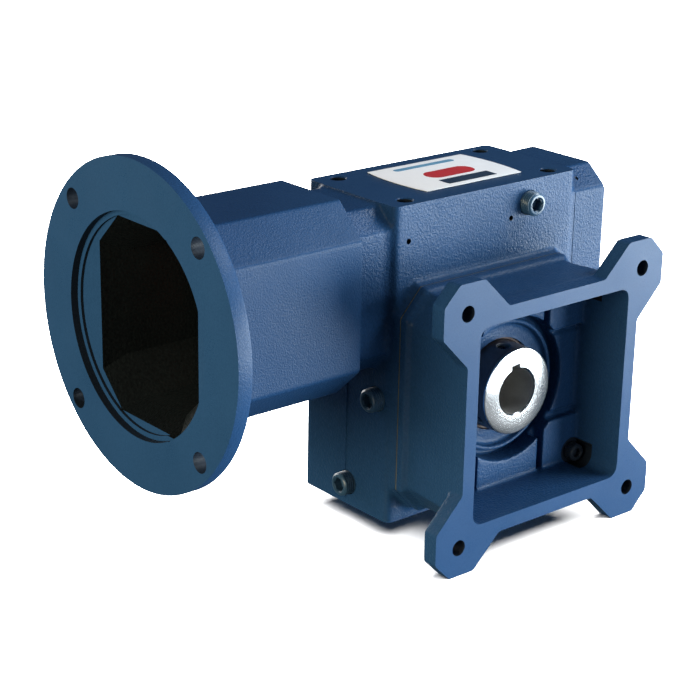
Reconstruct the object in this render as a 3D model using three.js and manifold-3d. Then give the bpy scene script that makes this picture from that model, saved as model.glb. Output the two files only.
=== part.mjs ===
// Worm gearbox with a motor bell on the worm axis and an open box flange on the output axis.
// Millimetres, +Z up. The origin is the centre of the housing's bottom face. The worm runs
// along X with the motor at -X, the hollow output shaft runs along Y with its flange at -Y.

import * as THREE from 'three';
import { mergeVertices } from 'three/addons/utils/BufferGeometryUtils.js';
import Module from 'manifold-3d';

const wasm = await Module();
wasm.setup();

// ---------- driving dimensions ----------

const GAP = 0.3; // clearance between pieces that touch on the real gearbox
const GASKET = 0.5;
const JOINT = GASKET + 2 * GAP; // distance between two castings with a gasket between them

const OUT_Z = 69.2; // height of the output shaft's axis
const CENTRES = 60.3; // worm axis to output axis
const WORM_Z = OUT_Z + CENTRES;

const BODY = { halfX: 65.5, halfY: 35.3, top: 175, corner: 3.5 };
const CAVITY = { halfX: 57.5, halfY: 27.3, low: -56, mid: 72, high: 97, upperHalfX: 39 };
const PAD = { halfX: 64.6, halfZ: 63.1, chamferX: 13.2, chamferZ: 14.8, height: 4 };
const GEAR_OPENING_R = 54;
const REAR_OPENING_R = 40;
const NECK = { halfZ: 44, chamferZ: 11 };
const LEFT_NECK = { halfY: 32, chamferY: 10.5, end: -91.6 };
const RIGHT_NECK = { halfY: 35, chamferY: 13, end: 89.2 };
const WORM_BORE_R = 23.8;
const TOP_TAP = { x: 51.9, y: 26.8, r: 4.25, depth: 18 };
const BASE_TAP_DEPTH = 10;
const NAME_PIN = { r: 1.5, depth: 5, z: OUT_Z + 86.5, x: [-55.9, 17] };

const MOTOR = { face: -200, rimR: 83.5, rim: 8.5, rabbetR: 57.15, rabbet: 5, boltR: 74.61, holeR: 5.35 };
const BELL = { halfY: 42, halfZ: 51.75, chamferY: 18.5, chamferZ: 17.35, wall: 7, endWall: 9, flare: 5 };
const BELL_MOUTH = { halfY: 41.4, halfZ: 50.5, chamferY: 17, chamferZ: 17, shiftY: -3.3, depth: 12 };
const BELL_SHAFT_HOLE_R = 14;

const FLANGE = { face: -89, plate: 9.5, frame: 62.3, ear: 79.5, earFlat: 16.8, earRoot: 34.8, cut: 10.2 };
const FLANGE_BOLT = { half: 63.5, r: 4.35 };
const FLANGE_WINDOW = { half: 54.3, corner: 6, draft: 1 };
const FLANGE_BODY = { halfX: 62.5, halfZ: 60, valley: -48.5 };
const FLOOR = { groove: -46, panel: -55.5, pad: -58.5, padArcR: 40.5 };
const FLOOR_GROOVE = { half: 2, x: 24.8, z: 24.2, edge: 51.4 };
const BOSS = { face: 48, innerR: 34, ridge: 51, outerR: 37, lipR: 26, lip: 1.7 };

const OUTPUT = { half: 63, endR: 24.1, seatR: 25, seatHalf: 37.5, boreR: 12.7, keyAngle: 6.6 };
const OUTPUT_KEYWAY = { width: 6.35, top: 15.6 };
const OUT_BEARING = { innerR: 25.3, outerR: 36, start: 19.8, end: 31.8, pitchR: 30.6, rollerR: 3 };
const ROLLERS = 9;
const SPACER_R = 28.5;
const OUT_SEAL = { innerR: 24.5, outerR: 32.3, start: 38, end: 46 };
const CARRIER = { bearingR: 36.3, sealR: 32.6, end: 18.5, shoulder: 32.1 };

const MODULE = 3;
const TEETH = 30;
const STARTS = 2;
const GEAR = { halfWidth: 14, rimInnerR: 36.3, hubHalf: 16, outerR: 49.3, hubR: 36 };
const WORM_PITCH_R = CENTRES - (MODULE * TEETH) / 2;
const WORM = { tipR: WORM_PITCH_R + MODULE, rootR: WORM_PITCH_R - 1.25 * MODULE, half: 30 };
const WORM_TOOTH = { crest: 0.2, root: 0.71 }; // widths as shares of the pitch
const LEAD = Math.PI * MODULE * STARTS;
const SHAFT = { left: -127, extensionEnd: -92, right: 88.4, extensionR: 9.5, seatR: 10, shoulderR: 13 };
const WORM_BEARING = { innerR: 10.3, outerR: 23.5, pitchR: 16.8, rollerR: 3.4, width: 14 };
const WORM_BEARING_X = { left: -78, right: 70 };
const WORM_SEAL = { x0: -90.5, x1: -82.5 };

const REAR = { plateR: 50, spigotR: 39.7, plateEnd: 44, screwR: 45, screws: 6 };
const COVER = { halfY: 31, halfZ: 40, chamferY: 12, chamferZ: 10, thickness: 4, spigotIn: 84.3 };
const COUPLING = { r: 25, bodyLow: -128, bodyHigh: -108, jaw: 12, jawSpread: 19, legSpread: 9, coreR: 9 };

const SCREW = { headR: 5, head: 6, shankR: 3, socketR: 2.9, socket: 3 };
const FLAT_SCREW = { headR: 5, rim: 0.4, cone: 2.6, socketR: 1.9, socket: 1.8 };
const PLUG = { r: 6.6, socketR: 3.7, socket: 5, proud: 6.6, buried: 7 };
const LABEL = { x: 1.9, y: 1.6, halfX: 36.5, halfY: 24, bow: 2.4, thickness: 0.35 };
const LOCKNUT = { r: 14, end: 88.2 };
const COUPLING_KEY = { from: -126, to: -108, halfWidth: 2.4, low: 7, high: 12 };
const GEAR_KEY = { width: 8, halfLength: 12.5, low: -28.7, high: -21 };
const SET_SCREW = { r: 3, low: 17.2, high: 23.3, y: -54, socketR: 1.5, socket: 2.5 };
const ADAPTER_SCREW = { y: 22, z: 29 };
const COVER_SCREW = { y: 21, z: 29 };
const FLANGE_SCREW = { x: 49.5, z: 48 };

// ---------- materials ----------

function material(color, roughness, metalness) {
  return new THREE.MeshStandardMaterial({ color, roughness, metalness });
}

const paint = () => material(0x2c4566, 0.42, 0.15);
const steel = () => material(0xc8ccd0, 0.3, 0.95);
const blackOxide = () => material(0x23242a, 0.45, 0.6);
const zinc = () => material(0x8d979e, 0.4, 0.8);
const bearingSteel = () => material(0xb4b8bd, 0.25, 0.9);
const bronze = () => material(0xb08a45, 0.35, 0.85);
const rubber = () => material(0x33201e, 0.8, 0);
const polyurethane = () => material(0xb8432a, 0.55, 0);
const gasketPaper = () => material(0x5a5f55, 0.9, 0);
const castIron = () => material(0x55585c, 0.6, 0.5);
const labelFilm = () => material(0xe8eaec, 0.5, 0);

// ---------- solids ----------

function signedVolume(position, triangles) {
  const a = new THREE.Vector3();
  const b = new THREE.Vector3();
  const c = new THREE.Vector3();
  let sum = 0;
  for (let i = 0; i < triangles.length; i += 3) {
    a.fromBufferAttribute(position, triangles[i]);
    b.fromBufferAttribute(position, triangles[i + 1]);
    c.fromBufferAttribute(position, triangles[i + 2]);
    sum += a.dot(b.cross(c));
  }
  return sum;
}

function solid(geometry) {
  const bare = new THREE.BufferGeometry();
  bare.setAttribute('position', geometry.getAttribute('position'));
  bare.setIndex(geometry.getIndex());
  const merged = mergeVertices(bare, 1e-4);
  const index = merged.getIndex().array;
  const kept = [];
  for (let i = 0; i < index.length; i += 3) {
    const [a, b, c] = [index[i], index[i + 1], index[i + 2]];
    if (a !== b && b !== c && c !== a) kept.push(a, b, c);
  }
  if (signedVolume(merged.getAttribute('position'), kept) < 0) kept.reverse();
  return new wasm.Manifold(
    new wasm.Mesh({
      numProp: 3,
      vertProperties: new Float32Array(merged.getAttribute('position').array),
      triVerts: new Uint32Array(kept),
    }),
  );
}

function join(...pieces) {
  return pieces.reduce((sum, piece) => sum.add(piece));
}

function cut(body, ...tools) {
  return tools.reduce((rest, tool) => rest.subtract(tool), body);
}

const assembly = new THREE.Group();

function place(name, piece, surface) {
  const made = piece.getMesh();
  const geometry = new THREE.BufferGeometry();
  geometry.setAttribute('position', new THREE.BufferAttribute(made.vertProperties, 3));
  geometry.setIndex(new THREE.BufferAttribute(made.triVerts, 1));
  geometry.computeVertexNormals();
  const mesh = new THREE.Mesh(geometry, surface);
  mesh.name = name;
  assembly.add(mesh);
}

// ---------- outlines, drawn in two axes of the gearbox ----------

function polygon(points) {
  return new THREE.Shape(points.map(([a, b]) => new THREE.Vector2(a, b)));
}

// A rectangle with its four corners cut off.
function octagon(halfA, halfB, cutA, cutB, centreB = 0) {
  const corner = [
    [halfA, halfB - cutB],
    [halfA - cutA, halfB],
  ];
  const mirrored = corner.map(([a, b]) => [-a, b]).reverse();
  const upper = [...corner, ...mirrored];
  const lower = upper.map(([a, b]) => [-a, -b]);
  return polygon([...upper, ...lower].map(([a, b]) => [a, b + centreB]));
}

function roundedBox(halfA, halfB, radius, centreB = 0) {
  const shape = new THREE.Shape();
  shape.absarc(halfA - radius, centreB + halfB - radius, radius, 0, Math.PI / 2);
  shape.absarc(-halfA + radius, centreB + halfB - radius, radius, Math.PI / 2, Math.PI);
  shape.absarc(-halfA + radius, centreB - halfB + radius, radius, Math.PI, 1.5 * Math.PI);
  shape.absarc(halfA - radius, centreB - halfB + radius, radius, 1.5 * Math.PI, 2 * Math.PI);
  return shape;
}

// ---------- prisms, cylinders and turned pieces ----------

const AXIS_BASES = {
  // An outline's two axes and the direction it is extruded in.
  x: [new THREE.Vector3(0, 1, 0), new THREE.Vector3(0, 0, 1), new THREE.Vector3(1, 0, 0)],
  y: [new THREE.Vector3(0, 0, 1), new THREE.Vector3(1, 0, 0), new THREE.Vector3(0, 1, 0)],
  z: [new THREE.Vector3(1, 0, 0), new THREE.Vector3(0, 1, 0), new THREE.Vector3(0, 0, 1)],
};

function turnTo(geometry, axis) {
  return geometry.applyMatrix4(new THREE.Matrix4().makeBasis(...AXIS_BASES[axis]));
}

function extruded(shape, depth, steps = 1, curveSegments = 3) {
  return new THREE.ExtrudeGeometry(shape, { depth, steps, bevelEnabled: false, curveSegments });
}

// An outline in (y, z), filled from x0 to x1.
function prismX(shape, x0, x1) {
  return solid(turnTo(extruded(shape, x1 - x0), 'x').translate(x0, 0, 0));
}

// Stands up a geometry drawn in (x, z), so that its depth runs towards -Y.
function toFront(geometry) {
  const basis = new THREE.Matrix4().makeBasis(
    new THREE.Vector3(1, 0, 0),
    new THREE.Vector3(0, 0, 1),
    new THREE.Vector3(0, -1, 0),
  );
  return geometry.applyMatrix4(basis);
}

// An outline in (x, z), filled between two values of y.
function prismY(shape, yA, yB) {
  const [low, high] = [Math.min(yA, yB), Math.max(yA, yB)];
  return solid(toFront(extruded(shape, high - low)).translate(0, high, 0));
}

function prismZ(shape, z0, z1) {
  return solid(extruded(shape, z1 - z0).translate(0, 0, z0));
}

function block(x, y, z) {
  const geometry = new THREE.BoxGeometry(x[1] - x[0], y[1] - y[0], z[1] - z[0]);
  const middle = [x, y, z].map(([low, high]) => (low + high) / 2);
  return solid(geometry.translate(...middle));
}

// A turned piece: profile points are [radius, position along the axis].
function turned(profile, axis, centre, segments = 24) {
  const points = profile.map(([r, t]) => new THREE.Vector2(r, t));
  const geometry = new THREE.LatheGeometry(points, segments);
  geometry.rotateX(Math.PI / 2);
  return solid(turnTo(geometry, axis).translate(...centre));
}

function rod(radius, from, to, axis, centre, segments = 24) {
  const profile = [
    [0, from],
    [radius, from],
    [radius, to],
    [0, to],
  ];
  return turned(profile, axis, centre, segments);
}

function ring(innerR, outerR, from, to, axis, centre, segments = 24) {
  const profile = [
    [innerR, from],
    [outerR, from],
    [outerR, to],
    [innerR, to],
    [innerR, from],
  ];
  return turned(profile, axis, centre, segments);
}

const wormAxis = [0, 0, WORM_Z];
const outputAxis = [0, 0, OUT_Z];

const rodOnWorm = (r, x0, x1, n = 24) => rod(r, x0, x1, 'x', wormAxis, n);
const rodOnOutput = (r, y0, y1, n = 32) => rod(r, y0, y1, 'y', outputAxis, n);

function corners(halfA, halfB) {
  const signs = [
    [-1, 1],
    [1, 1],
    [1, -1],
    [-1, -1],
  ];
  return signs.map(([a, b]) => [a * halfA, b * halfB]);
}

// ---------- fasteners ----------

// A socket head cap screw whose head seats at `seat`; sign is the way its head points.
function capScrew(axis, centre, seat, sign, length) {
  const s = SCREW;
  const profile = [
    [0, seat - sign * length],
    [s.shankR, seat - sign * length],
    [s.shankR, seat],
    [s.headR, seat],
    [s.headR, seat + sign * s.head],
    [0, seat + sign * s.head],
  ];
  const socketEnd = seat + sign * (s.head - s.socket);
  const socket = rod(s.socketR, socketEnd, seat + sign * (s.head + 1), axis, centre, 6);
  return cut(turned(profile, axis, centre, 8), socket);
}

// A countersunk screw whose flat top lies at `top`; sign is the way its top faces.
function flatScrew(axis, centre, top, sign, length) {
  const s = FLAT_SCREW;
  const profile = [
    [0, top - sign * length],
    [SCREW.shankR, top - sign * length],
    [SCREW.shankR, top - sign * s.cone],
    [s.headR, top - sign * s.rim],
    [s.headR, top],
    [0, top],
  ];
  const socket = rod(s.socketR, top - sign * s.socket, top + sign, axis, centre, 6);
  return cut(turned(profile, axis, centre, 12), socket);
}

// The seat for a countersunk screw in a plate whose outside is at `face`.
function flatScrewSeat(axis, centre, face, sign) {
  const s = FLAT_SCREW;
  const profile = [
    [0, face - sign * (s.cone + 2 * GAP)],
    [SCREW.shankR + GAP, face - sign * (s.cone + 2 * GAP)],
    [s.headR + GAP, face - sign * (s.rim + GAP)],
    [s.headR + GAP, face + sign],
    [0, face + sign],
  ];
  return turned(profile, axis, centre, 12);
}

function screwHole(axis, centre, from, to) {
  return rod(SCREW.shankR + 0.5, from, to, axis, centre, 8);
}

// A pipe plug with a hex socket, screwed into a wall whose outside is at `wall`.
function pipePlug(axis, centre, wall, sign) {
  const outer = wall + sign * PLUG.proud;
  const body = rod(PLUG.r, wall - sign * PLUG.buried, outer, axis, centre, 18);
  const socket = rod(PLUG.socketR, outer - sign * PLUG.socket, outer + sign, axis, centre, 6);
  return cut(body, socket);
}

const plugs = [
  { name: 'oil_level_plug', axis: 'y', centre: [30.2, 0, OUT_Z + 93], wall: -BODY.halfY, sign: -1 },
  { name: 'oil_side_plug', axis: 'x', centre: [0, -24, OUT_Z - 0.8], wall: -BODY.halfX, sign: -1 },
  { name: 'oil_drain_plug', axis: 'x', centre: [0, -2, OUT_Z - 56.2], wall: -BODY.halfX, sign: -1 },
];

const adapterScrews = corners(ADAPTER_SCREW.y, ADAPTER_SCREW.z);
const coverScrews = corners(COVER_SCREW.y, COVER_SCREW.z);
const flangeScrews = corners(FLANGE_SCREW.x, FLANGE_SCREW.z);

// ---------- housing ----------

const neckOutline = ({ halfY, chamferY }) =>
  octagon(halfY, NECK.halfZ, chamferY, NECK.chamferZ, WORM_Z);
const padOutline = (inset) =>
  octagon(PAD.halfX - inset, PAD.halfZ - inset, PAD.chamferX, PAD.chamferZ, OUT_Z);

function housingCasting() {
  const body = prismZ(roundedBox(BODY.halfX, BODY.halfY, BODY.corner), 0, BODY.top);
  const leftNeck = prismX(neckOutline(LEFT_NECK), LEFT_NECK.end, 0);
  const rightNeck = prismX(neckOutline(RIGHT_NECK), -1, RIGHT_NECK.end);
  const pad = prismY(padOutline(0), -BODY.halfY - PAD.height, 0);
  return join(body, leftNeck, rightNeck, pad);
}

function housingCavity() {
  const c = CAVITY;
  const across = [-c.halfY, c.halfY];
  const lower = block([-c.halfX, c.halfX], across, [OUT_Z + c.low, OUT_Z + c.mid]);
  const upper = block([-c.upperHalfX, c.upperHalfX], across, [OUT_Z + c.mid - 1, OUT_Z + c.high]);
  const bearingBore = rodOnWorm(WORM_BORE_R, LEFT_NECK.end - 1, RIGHT_NECK.end + 1);
  const front = rodOnOutput(GEAR_OPENING_R, -BODY.halfY - PAD.height - 1, 0);
  const rear = rodOnOutput(REAR_OPENING_R, 0, BODY.halfY + 1);
  return join(lower, upper, bearingBore, front, rear);
}

function mountingTaps() {
  const t = TOP_TAP;
  const holes = corners(t.x, t.y).flatMap(([x, y]) => [
    rod(t.r, BODY.top - t.depth, BODY.top + 1, 'z', [x, y, 0], 12),
    rod(t.r, -1, BASE_TAP_DEPTH, 'z', [x, y, 0], 12),
  ]);
  return join(...holes);
}

function housingScrewHoles() {
  const left = adapterScrews.map(([y, z]) =>
    screwHole('x', [0, y, WORM_Z + z], LEFT_NECK.end - 1, LEFT_NECK.end + 14),
  );
  const right = coverScrews.map(([y, z]) =>
    screwHole('x', [0, y, WORM_Z + z], RIGHT_NECK.end - 12, RIGHT_NECK.end + 1),
  );
  const front = flangeScrews.map(([x, z]) =>
    screwHole('y', [x, 0, OUT_Z + z], -BODY.halfY - PAD.height - 1, -CAVITY.halfY + 1),
  );
  const rear = rearScrewPlaces().map(([x, z]) => screwHole('y', [x, 0, OUT_Z + z], 20, BODY.halfY + 1));
  return join(...left, ...right, ...front, ...rear);
}

function plugHoles() {
  return join(
    ...plugs.map(({ axis, centre, wall, sign }) =>
      rod(PLUG.r + GAP, wall - sign * (PLUG.buried + 3), wall + sign, axis, centre, 18),
    ),
  );
}

function housing() {
  const pins = NAME_PIN.x.map((x) =>
    rod(NAME_PIN.r, -BODY.halfY - 1, -BODY.halfY + NAME_PIN.depth, 'y', [x, 0, NAME_PIN.z], 8),
  );
  return cut(housingCasting(), housingCavity(), mountingTaps(), housingScrewHoles(), plugHoles(), ...pins);
}

// ---------- motor bell ----------

// An octagon that changes size along the worm axis; its first end may sit off the axis in y.
function taperedOctagon(first, last, x0, x1) {
  const geometry = turnTo(extruded(octagon(1, 1, 0.4, 0.4), x1 - x0), 'x').translate(x0, 0, 0);
  const position = geometry.getAttribute('position');
  const ends = [first, last].map((outline) => ({ ...octagonCorner(outline), shiftY: outline.shiftY ?? 0 }));
  for (let i = 0; i < position.count; i += 1) {
    const { side, top, shiftY } = ends[position.getX(i) < (x0 + x1) / 2 ? 0 : 1];
    const onSide = Math.abs(Math.abs(position.getY(i)) - 1) < 1e-6;
    const [y, z] = onSide ? side : top;
    position.setY(i, Math.sign(position.getY(i)) * y + shiftY);
    position.setZ(i, Math.sign(position.getZ(i)) * z + WORM_Z);
  }
  return solid(geometry);
}

function octagonCorner({ halfY, halfZ, chamferY, chamferZ }) {
  return { side: [halfY, halfZ - chamferZ], top: [halfY - chamferY, halfZ] };
}

function inset(outline, by) {
  return { ...outline, halfY: outline.halfY - by, halfZ: outline.halfZ - by };
}

function bellOctagon(outline, x0, x1) {
  return prismX(octagon(outline.halfY, outline.halfZ, outline.chamferY, outline.chamferZ, WORM_Z), x0, x1);
}

const BELL_END = LEFT_NECK.end - JOINT;

function motorAdapter() {
  const { face, rimR, rim, rabbetR, rabbet, boltR, holeR } = MOTOR;
  const inner = inset(BELL, BELL.wall);
  const mouthEnd = face + rabbet + BELL_MOUTH.depth;
  const disc = rodOnWorm(rimR, face, face + rim, 48);
  const root = taperedOctagon(inset(BELL, -BELL.flare), BELL, face + rim - 1, face + rim + BELL.flare);
  const tube = bellOctagon(BELL, face + rim - 1, BELL_END);
  const solidShape = join(disc, root, tube);
  const hollow = join(
    rodOnWorm(rabbetR, face - 1, face + rabbet, 36),
    taperedOctagon(BELL_MOUTH, inner, face + rabbet - 0.01, mouthEnd),
    bellOctagon(inner, mouthEnd - 0.01, BELL_END - BELL.endWall),
    rodOnWorm(BELL_SHAFT_HOLE_R, BELL_END - BELL.endWall - 1, BELL_END + 1, 20),
  );
  const at = boltR * Math.SQRT1_2;
  const boltHoles = corners(at, at).map(([y, z]) =>
    rod(holeR, face - 1, face + rim + 1, 'x', [0, y, WORM_Z + z], 16),
  );
  const screwHoles = adapterScrews.map(([y, z]) =>
    screwHole('x', [0, y, WORM_Z + z], BELL_END - BELL.endWall - 1, BELL_END + 1),
  );
  return cut(solidShape, hollow, ...boltHoles, ...screwHoles);
}

// ---------- output flange ----------

// The flange plate: a square frame with a notched ear at each corner.
function flangeOutline() {
  const { frame, ear, earFlat, earRoot, cut: chamfer } = FLANGE;
  const quarter = [
    [frame, earRoot],
    [ear, ear - chamfer - earFlat],
    [ear, ear - chamfer],
    [ear - chamfer, ear],
    [ear - chamfer - earFlat, ear],
    [earRoot, frame],
  ];
  const topLeft = quarter.map(([x, z]) => [-x, z]).reverse();
  const bottomLeft = quarter.map(([x, z]) => [-x, -z]);
  const bottomRight = quarter.map(([x, z]) => [x, -z]).reverse();
  const all = [...quarter, ...topLeft, ...bottomLeft, ...bottomRight];
  return polygon(all.map(([x, z]) => [x, z + OUT_Z]));
}

// The box between the housing and the flange plate; its top and bottom flare towards the plate.
function flangeBox() {
  const { valley, halfX, halfZ } = FLANGE_BODY;
  const back = FLANGE.face + FLANGE.plate;
  const outline = octagon(halfX, halfZ, PAD.chamferX, PAD.chamferZ);
  const geometry = toFront(extruded(outline, valley - back)).translate(0, valley, 0);
  const position = geometry.getAttribute('position');
  const flare = FLANGE.frame - halfZ;
  for (let i = 0; i < position.count; i += 1) {
    const share = (valley - position.getY(i)) / (valley - back);
    const z = position.getZ(i);
    position.setZ(i, OUT_Z + z + Math.sign(z) * flare * share);
  }
  return solid(geometry);
}

function drafted(outline, yMouth, yFloor, draft) {
  const geometry = extruded(outline, yFloor - yMouth);
  const position = geometry.getAttribute('position');
  for (let i = 0; i < position.count; i += 1) {
    const [x, z, depth] = [position.getX(i), position.getY(i), position.getZ(i)];
    const by = (draft * depth) / (yFloor - yMouth);
    position.setXYZ(i, x - Math.sign(x) * by, yMouth + depth, OUT_Z + z - Math.sign(z) * by);
  }
  return solid(geometry);
}

// The floor of the box: corner pads, middle panels and the grooves between them.
function floorRelief() {
  const { groove, panel, pad, padArcR } = FLOOR;
  const { half, x: gx, z: gz, edge } = FLOOR_GROOVE;
  const cornerPads = corners(1, 1).map(([sx, sz]) =>
    prismY(
      roundedBox((edge - gx - half) / 2, (edge - gz - half) / 2, 3),
      pad,
      groove + 1,
    ).translate(sx * (edge + gx + half) / 2, 0, OUT_Z + sz * (edge + gz + half) / 2),
  );
  const upDown = [1, -1].map((s) =>
    prismY(roundedBox(gx - half, (edge - gz) / 2, 3), pad, groove + 1).translate(
      0,
      0,
      OUT_Z + (s * (edge + gz)) / 2,
    ),
  );
  const sides = [1, -1].map((s) =>
    prismY(roundedBox((edge - gx) / 2, gz - half, 3), panel, groove + 1).translate(
      (s * (edge + gx)) / 2,
      0,
      OUT_Z,
    ),
  );
  return cut(join(...cornerPads, ...upDown, ...sides), rodOnOutput(padArcR, pad - 1, groove));
}

function flangeBoss() {
  const { face, innerR, ridge, outerR } = BOSS;
  const profile = [
    [0, -ridge + 3],
    [innerR, -face],
    [innerR + 0.6, -ridge],
    [outerR - 1.2, -ridge],
    [outerR, -ridge + 1.2],
    [outerR, FLOOR.groove + 1],
    [0, FLOOR.groove + 1],
  ];
  return turned(profile, 'y', outputAxis, 36);
}

function carrierBores(side) {
  const { bearingR, sealR, end, shoulder } = CARRIER;
  return join(
    rodOnOutput(bearingR, side * (end - 1), side * shoulder, 28),
    rodOnOutput(sealR, side * (shoulder - 1), side * (BOSS.face - BOSS.lip), 28),
    rodOnOutput(BOSS.lipR, side * 40, side * (BOSS.ridge + 9), 28),
  );
}

const FLANGE_BACK = -BODY.halfY - PAD.height - JOINT;

function outputFlange() {
  const { face, plate } = FLANGE;
  const base = prismY(padOutline(0.3), FLANGE_BACK, FLOOR.groove + 1);
  const baseTaper = prismY(padOutline(1.6), FLANGE_BACK, FLANGE_BODY.valley - 1);
  const shell = join(base, baseTaper, flangeBox(), prismY(flangeOutline(), face + plate, face));
  const window = drafted(
    roundedBox(FLANGE_WINDOW.half, FLANGE_WINDOW.half, FLANGE_WINDOW.corner),
    face - 0.01,
    FLOOR.groove,
    FLANGE_WINDOW.draft,
  );
  const spigot = rodOnOutput(GEAR_OPENING_R - 0.6, FLANGE_BACK - 1, -CARRIER.end, 28);
  const bolts = corners(FLANGE_BOLT.half, FLANGE_BOLT.half).map(([x, z]) =>
    rod(FLANGE_BOLT.r, face - 1, face + plate + 1, 'y', [x, 0, OUT_Z + z], 12),
  );
  const screwSeats = flangeScrews.flatMap(([x, z]) => [
    screwHole('y', [x, 0, OUT_Z + z], FLOOR.pad - 1, FLANGE_BACK + 1),
    rod(SCREW.headR + 2.6, FLOOR.pad - 12, FLOOR.pad + 1, 'y', [x, 0, OUT_Z + z], 14),
  ]);
  const body = join(cut(shell, window), floorRelief(), flangeBoss(), spigot);
  return cut(body, carrierBores(-1), ...bolts, ...screwSeats);
}

// ---------- rear and end covers ----------

function rearScrewPlaces() {
  return Array.from({ length: REAR.screws }, (_, i) => {
    const angle = ((i + 0.5) * 2 * Math.PI) / REAR.screws;
    return [REAR.screwR * Math.cos(angle), REAR.screwR * Math.sin(angle)];
  });
}

const REAR_START = BODY.halfY + JOINT;

function rearCover() {
  const profile = [
    [0, REAR_START],
    [REAR.plateR, REAR_START],
    [REAR.plateR, REAR.plateEnd - 1],
    [REAR.plateR - 1, REAR.plateEnd],
    [BOSS.outerR + 2, REAR.plateEnd],
    [BOSS.outerR, BOSS.face],
    [0, BOSS.face],
  ];
  const plate = turned(profile, 'y', outputAxis, 32);
  const spigot = rodOnOutput(REAR.spigotR - 0.3, CARRIER.end, REAR_START + 1);
  const holes = rearScrewPlaces().map(([x, z]) =>
    screwHole('y', [x, 0, OUT_Z + z], REAR_START - 1, REAR.plateEnd + 1),
  );
  return cut(join(plate, spigot), carrierBores(1), ...holes);
}

const COVER_START = RIGHT_NECK.end + JOINT;
const coverOutline = () => octagon(COVER.halfY, COVER.halfZ, COVER.chamferY, COVER.chamferZ, WORM_Z);

function endCover() {
  const plate = prismX(coverOutline(), COVER_START, COVER_START + COVER.thickness);
  const spigot = ring(17.5, WORM_BORE_R - 0.6, COVER.spigotIn, COVER_START + 1, 'x', wormAxis, 24);
  const face = COVER_START + COVER.thickness;
  const holes = coverScrews.flatMap(([y, z]) => [
    screwHole('x', [0, y, WORM_Z + z], COVER_START - 1, face - 1),
    flatScrewSeat('x', [0, y, WORM_Z + z], face, 1),
  ]);
  return cut(join(plate, spigot), ...holes);
}

// ---------- gaskets ----------

function wormGasket(outline, x0, screws) {
  const holes = screws.map(([y, z]) => screwHole('x', [0, y, WORM_Z + z], x0 - 1, x0 + GASKET + 1));
  const sheet = prismX(outline, x0, x0 + GASKET);
  return cut(sheet, rodOnWorm(WORM_BORE_R + 0.5, x0 - 1, x0 + GASKET + 1, 24), ...holes);
}

function flangeGasket() {
  const [y0, y1] = [FLANGE_BACK + GAP, FLANGE_BACK + GAP + GASKET];
  const holes = flangeScrews.map(([x, z]) => screwHole('y', [x, 0, OUT_Z + z], y0 - 1, y1 + 1));
  const sheet = prismY(padOutline(0.6), y0, y1);
  return cut(sheet, rodOnOutput(GEAR_OPENING_R, y0 - 1, y1 + 1), ...holes);
}

function rearGasket() {
  const y0 = BODY.halfY + GAP;
  const sheet = ring(REAR.spigotR + 0.8, REAR.plateR - 0.3, y0, y0 + GASKET, 'y', outputAxis, 24);
  const holes = rearScrewPlaces().map(([x, z]) => screwHole('y', [x, 0, OUT_Z + z], y0 - 1, y0 + 2));
  return cut(sheet, ...holes);
}

// ---------- bearings and seals ----------

// The rollers and the cage that joins them, as one ring that swells at each roller.
function cageOutline(pitchR, rollerR) {
  const rim = (sign) =>
    Array.from({ length: ROLLERS * 4 }, (_, i) => {
      const angle = ((i + 0.5 * (i % 2)) * 2 * Math.PI) / (ROLLERS * 4);
      const r = pitchR + sign * (i % 4 < 2 ? rollerR : 1);
      return new THREE.Vector2(r * Math.cos(angle), r * Math.sin(angle));
    });
  const outline = new THREE.Shape(rim(1));
  outline.holes.push(new THREE.Path(rim(-1)));
  return outline;
}

// A bearing as outer ring, inner ring, and a cage joined to its rollers.
function bearing(prefix, axis, centre, start, width, size) {
  const { innerR, outerR, pitchR, rollerR } = size;
  const end = start + width;
  const outerTrack = pitchR + rollerR + GAP;
  const innerTrack = pitchR - rollerR - GAP;
  place(`${prefix}_outer_ring`, ring(outerTrack, outerR, start, end, axis, centre, 24), bearingSteel());
  place(`${prefix}_inner_ring`, ring(innerR, innerTrack, start, end, axis, centre, 24), bearingSteel());
  const cage = extruded(cageOutline(pitchR, rollerR), width - 3).translate(0, 0, start + 1.5);
  place(`${prefix}_roller_cage`, solid(turnTo(cage, axis).translate(...centre)), bearingSteel());
}

// ---------- worm and gear ----------

// The worm's section across its axis: for each start a root, two flanks and a crest.
function wormSection() {
  const turn = (share) => (share * 2 * Math.PI) / STARTS;
  const halfCrest = turn(WORM_TOOTH.crest) / 2;
  const halfRoot = turn(WORM_TOOTH.root) / 2;
  const points = [];
  for (let start = 0; start < STARTS; start += 1) {
    const middle = turn(start);
    const places = [
      [-halfRoot, WORM.rootR],
      [-halfCrest, WORM.tipR],
      [halfCrest, WORM.tipR],
      [halfRoot, WORM.rootR],
      [turn(0.5), WORM.rootR],
    ];
    for (const [angle, r] of places) {
      points.push([r * Math.cos(middle + angle), r * Math.sin(middle + angle)]);
    }
  }
  return polygon(points);
}

function twisted(geometry, radiansPerMm) {
  const position = geometry.getAttribute('position');
  for (let i = 0; i < position.count; i += 1) {
    const angle = position.getZ(i) * radiansPerMm;
    const [x, y] = [position.getX(i), position.getY(i)];
    const [c, s] = [Math.cos(angle), Math.sin(angle)];
    position.setXY(i, x * c - y * s, x * s + y * c);
  }
  return geometry;
}

function wormThread() {
  const length = 2 * WORM.half;
  const steps = Math.round((length / LEAD) * 12);
  const geometry = extruded(wormSection(), length, steps).translate(0, 0, -WORM.half);
  twisted(geometry, (2 * Math.PI) / LEAD);
  return solid(turnTo(geometry, 'x').translate(...wormAxis));
}

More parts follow.
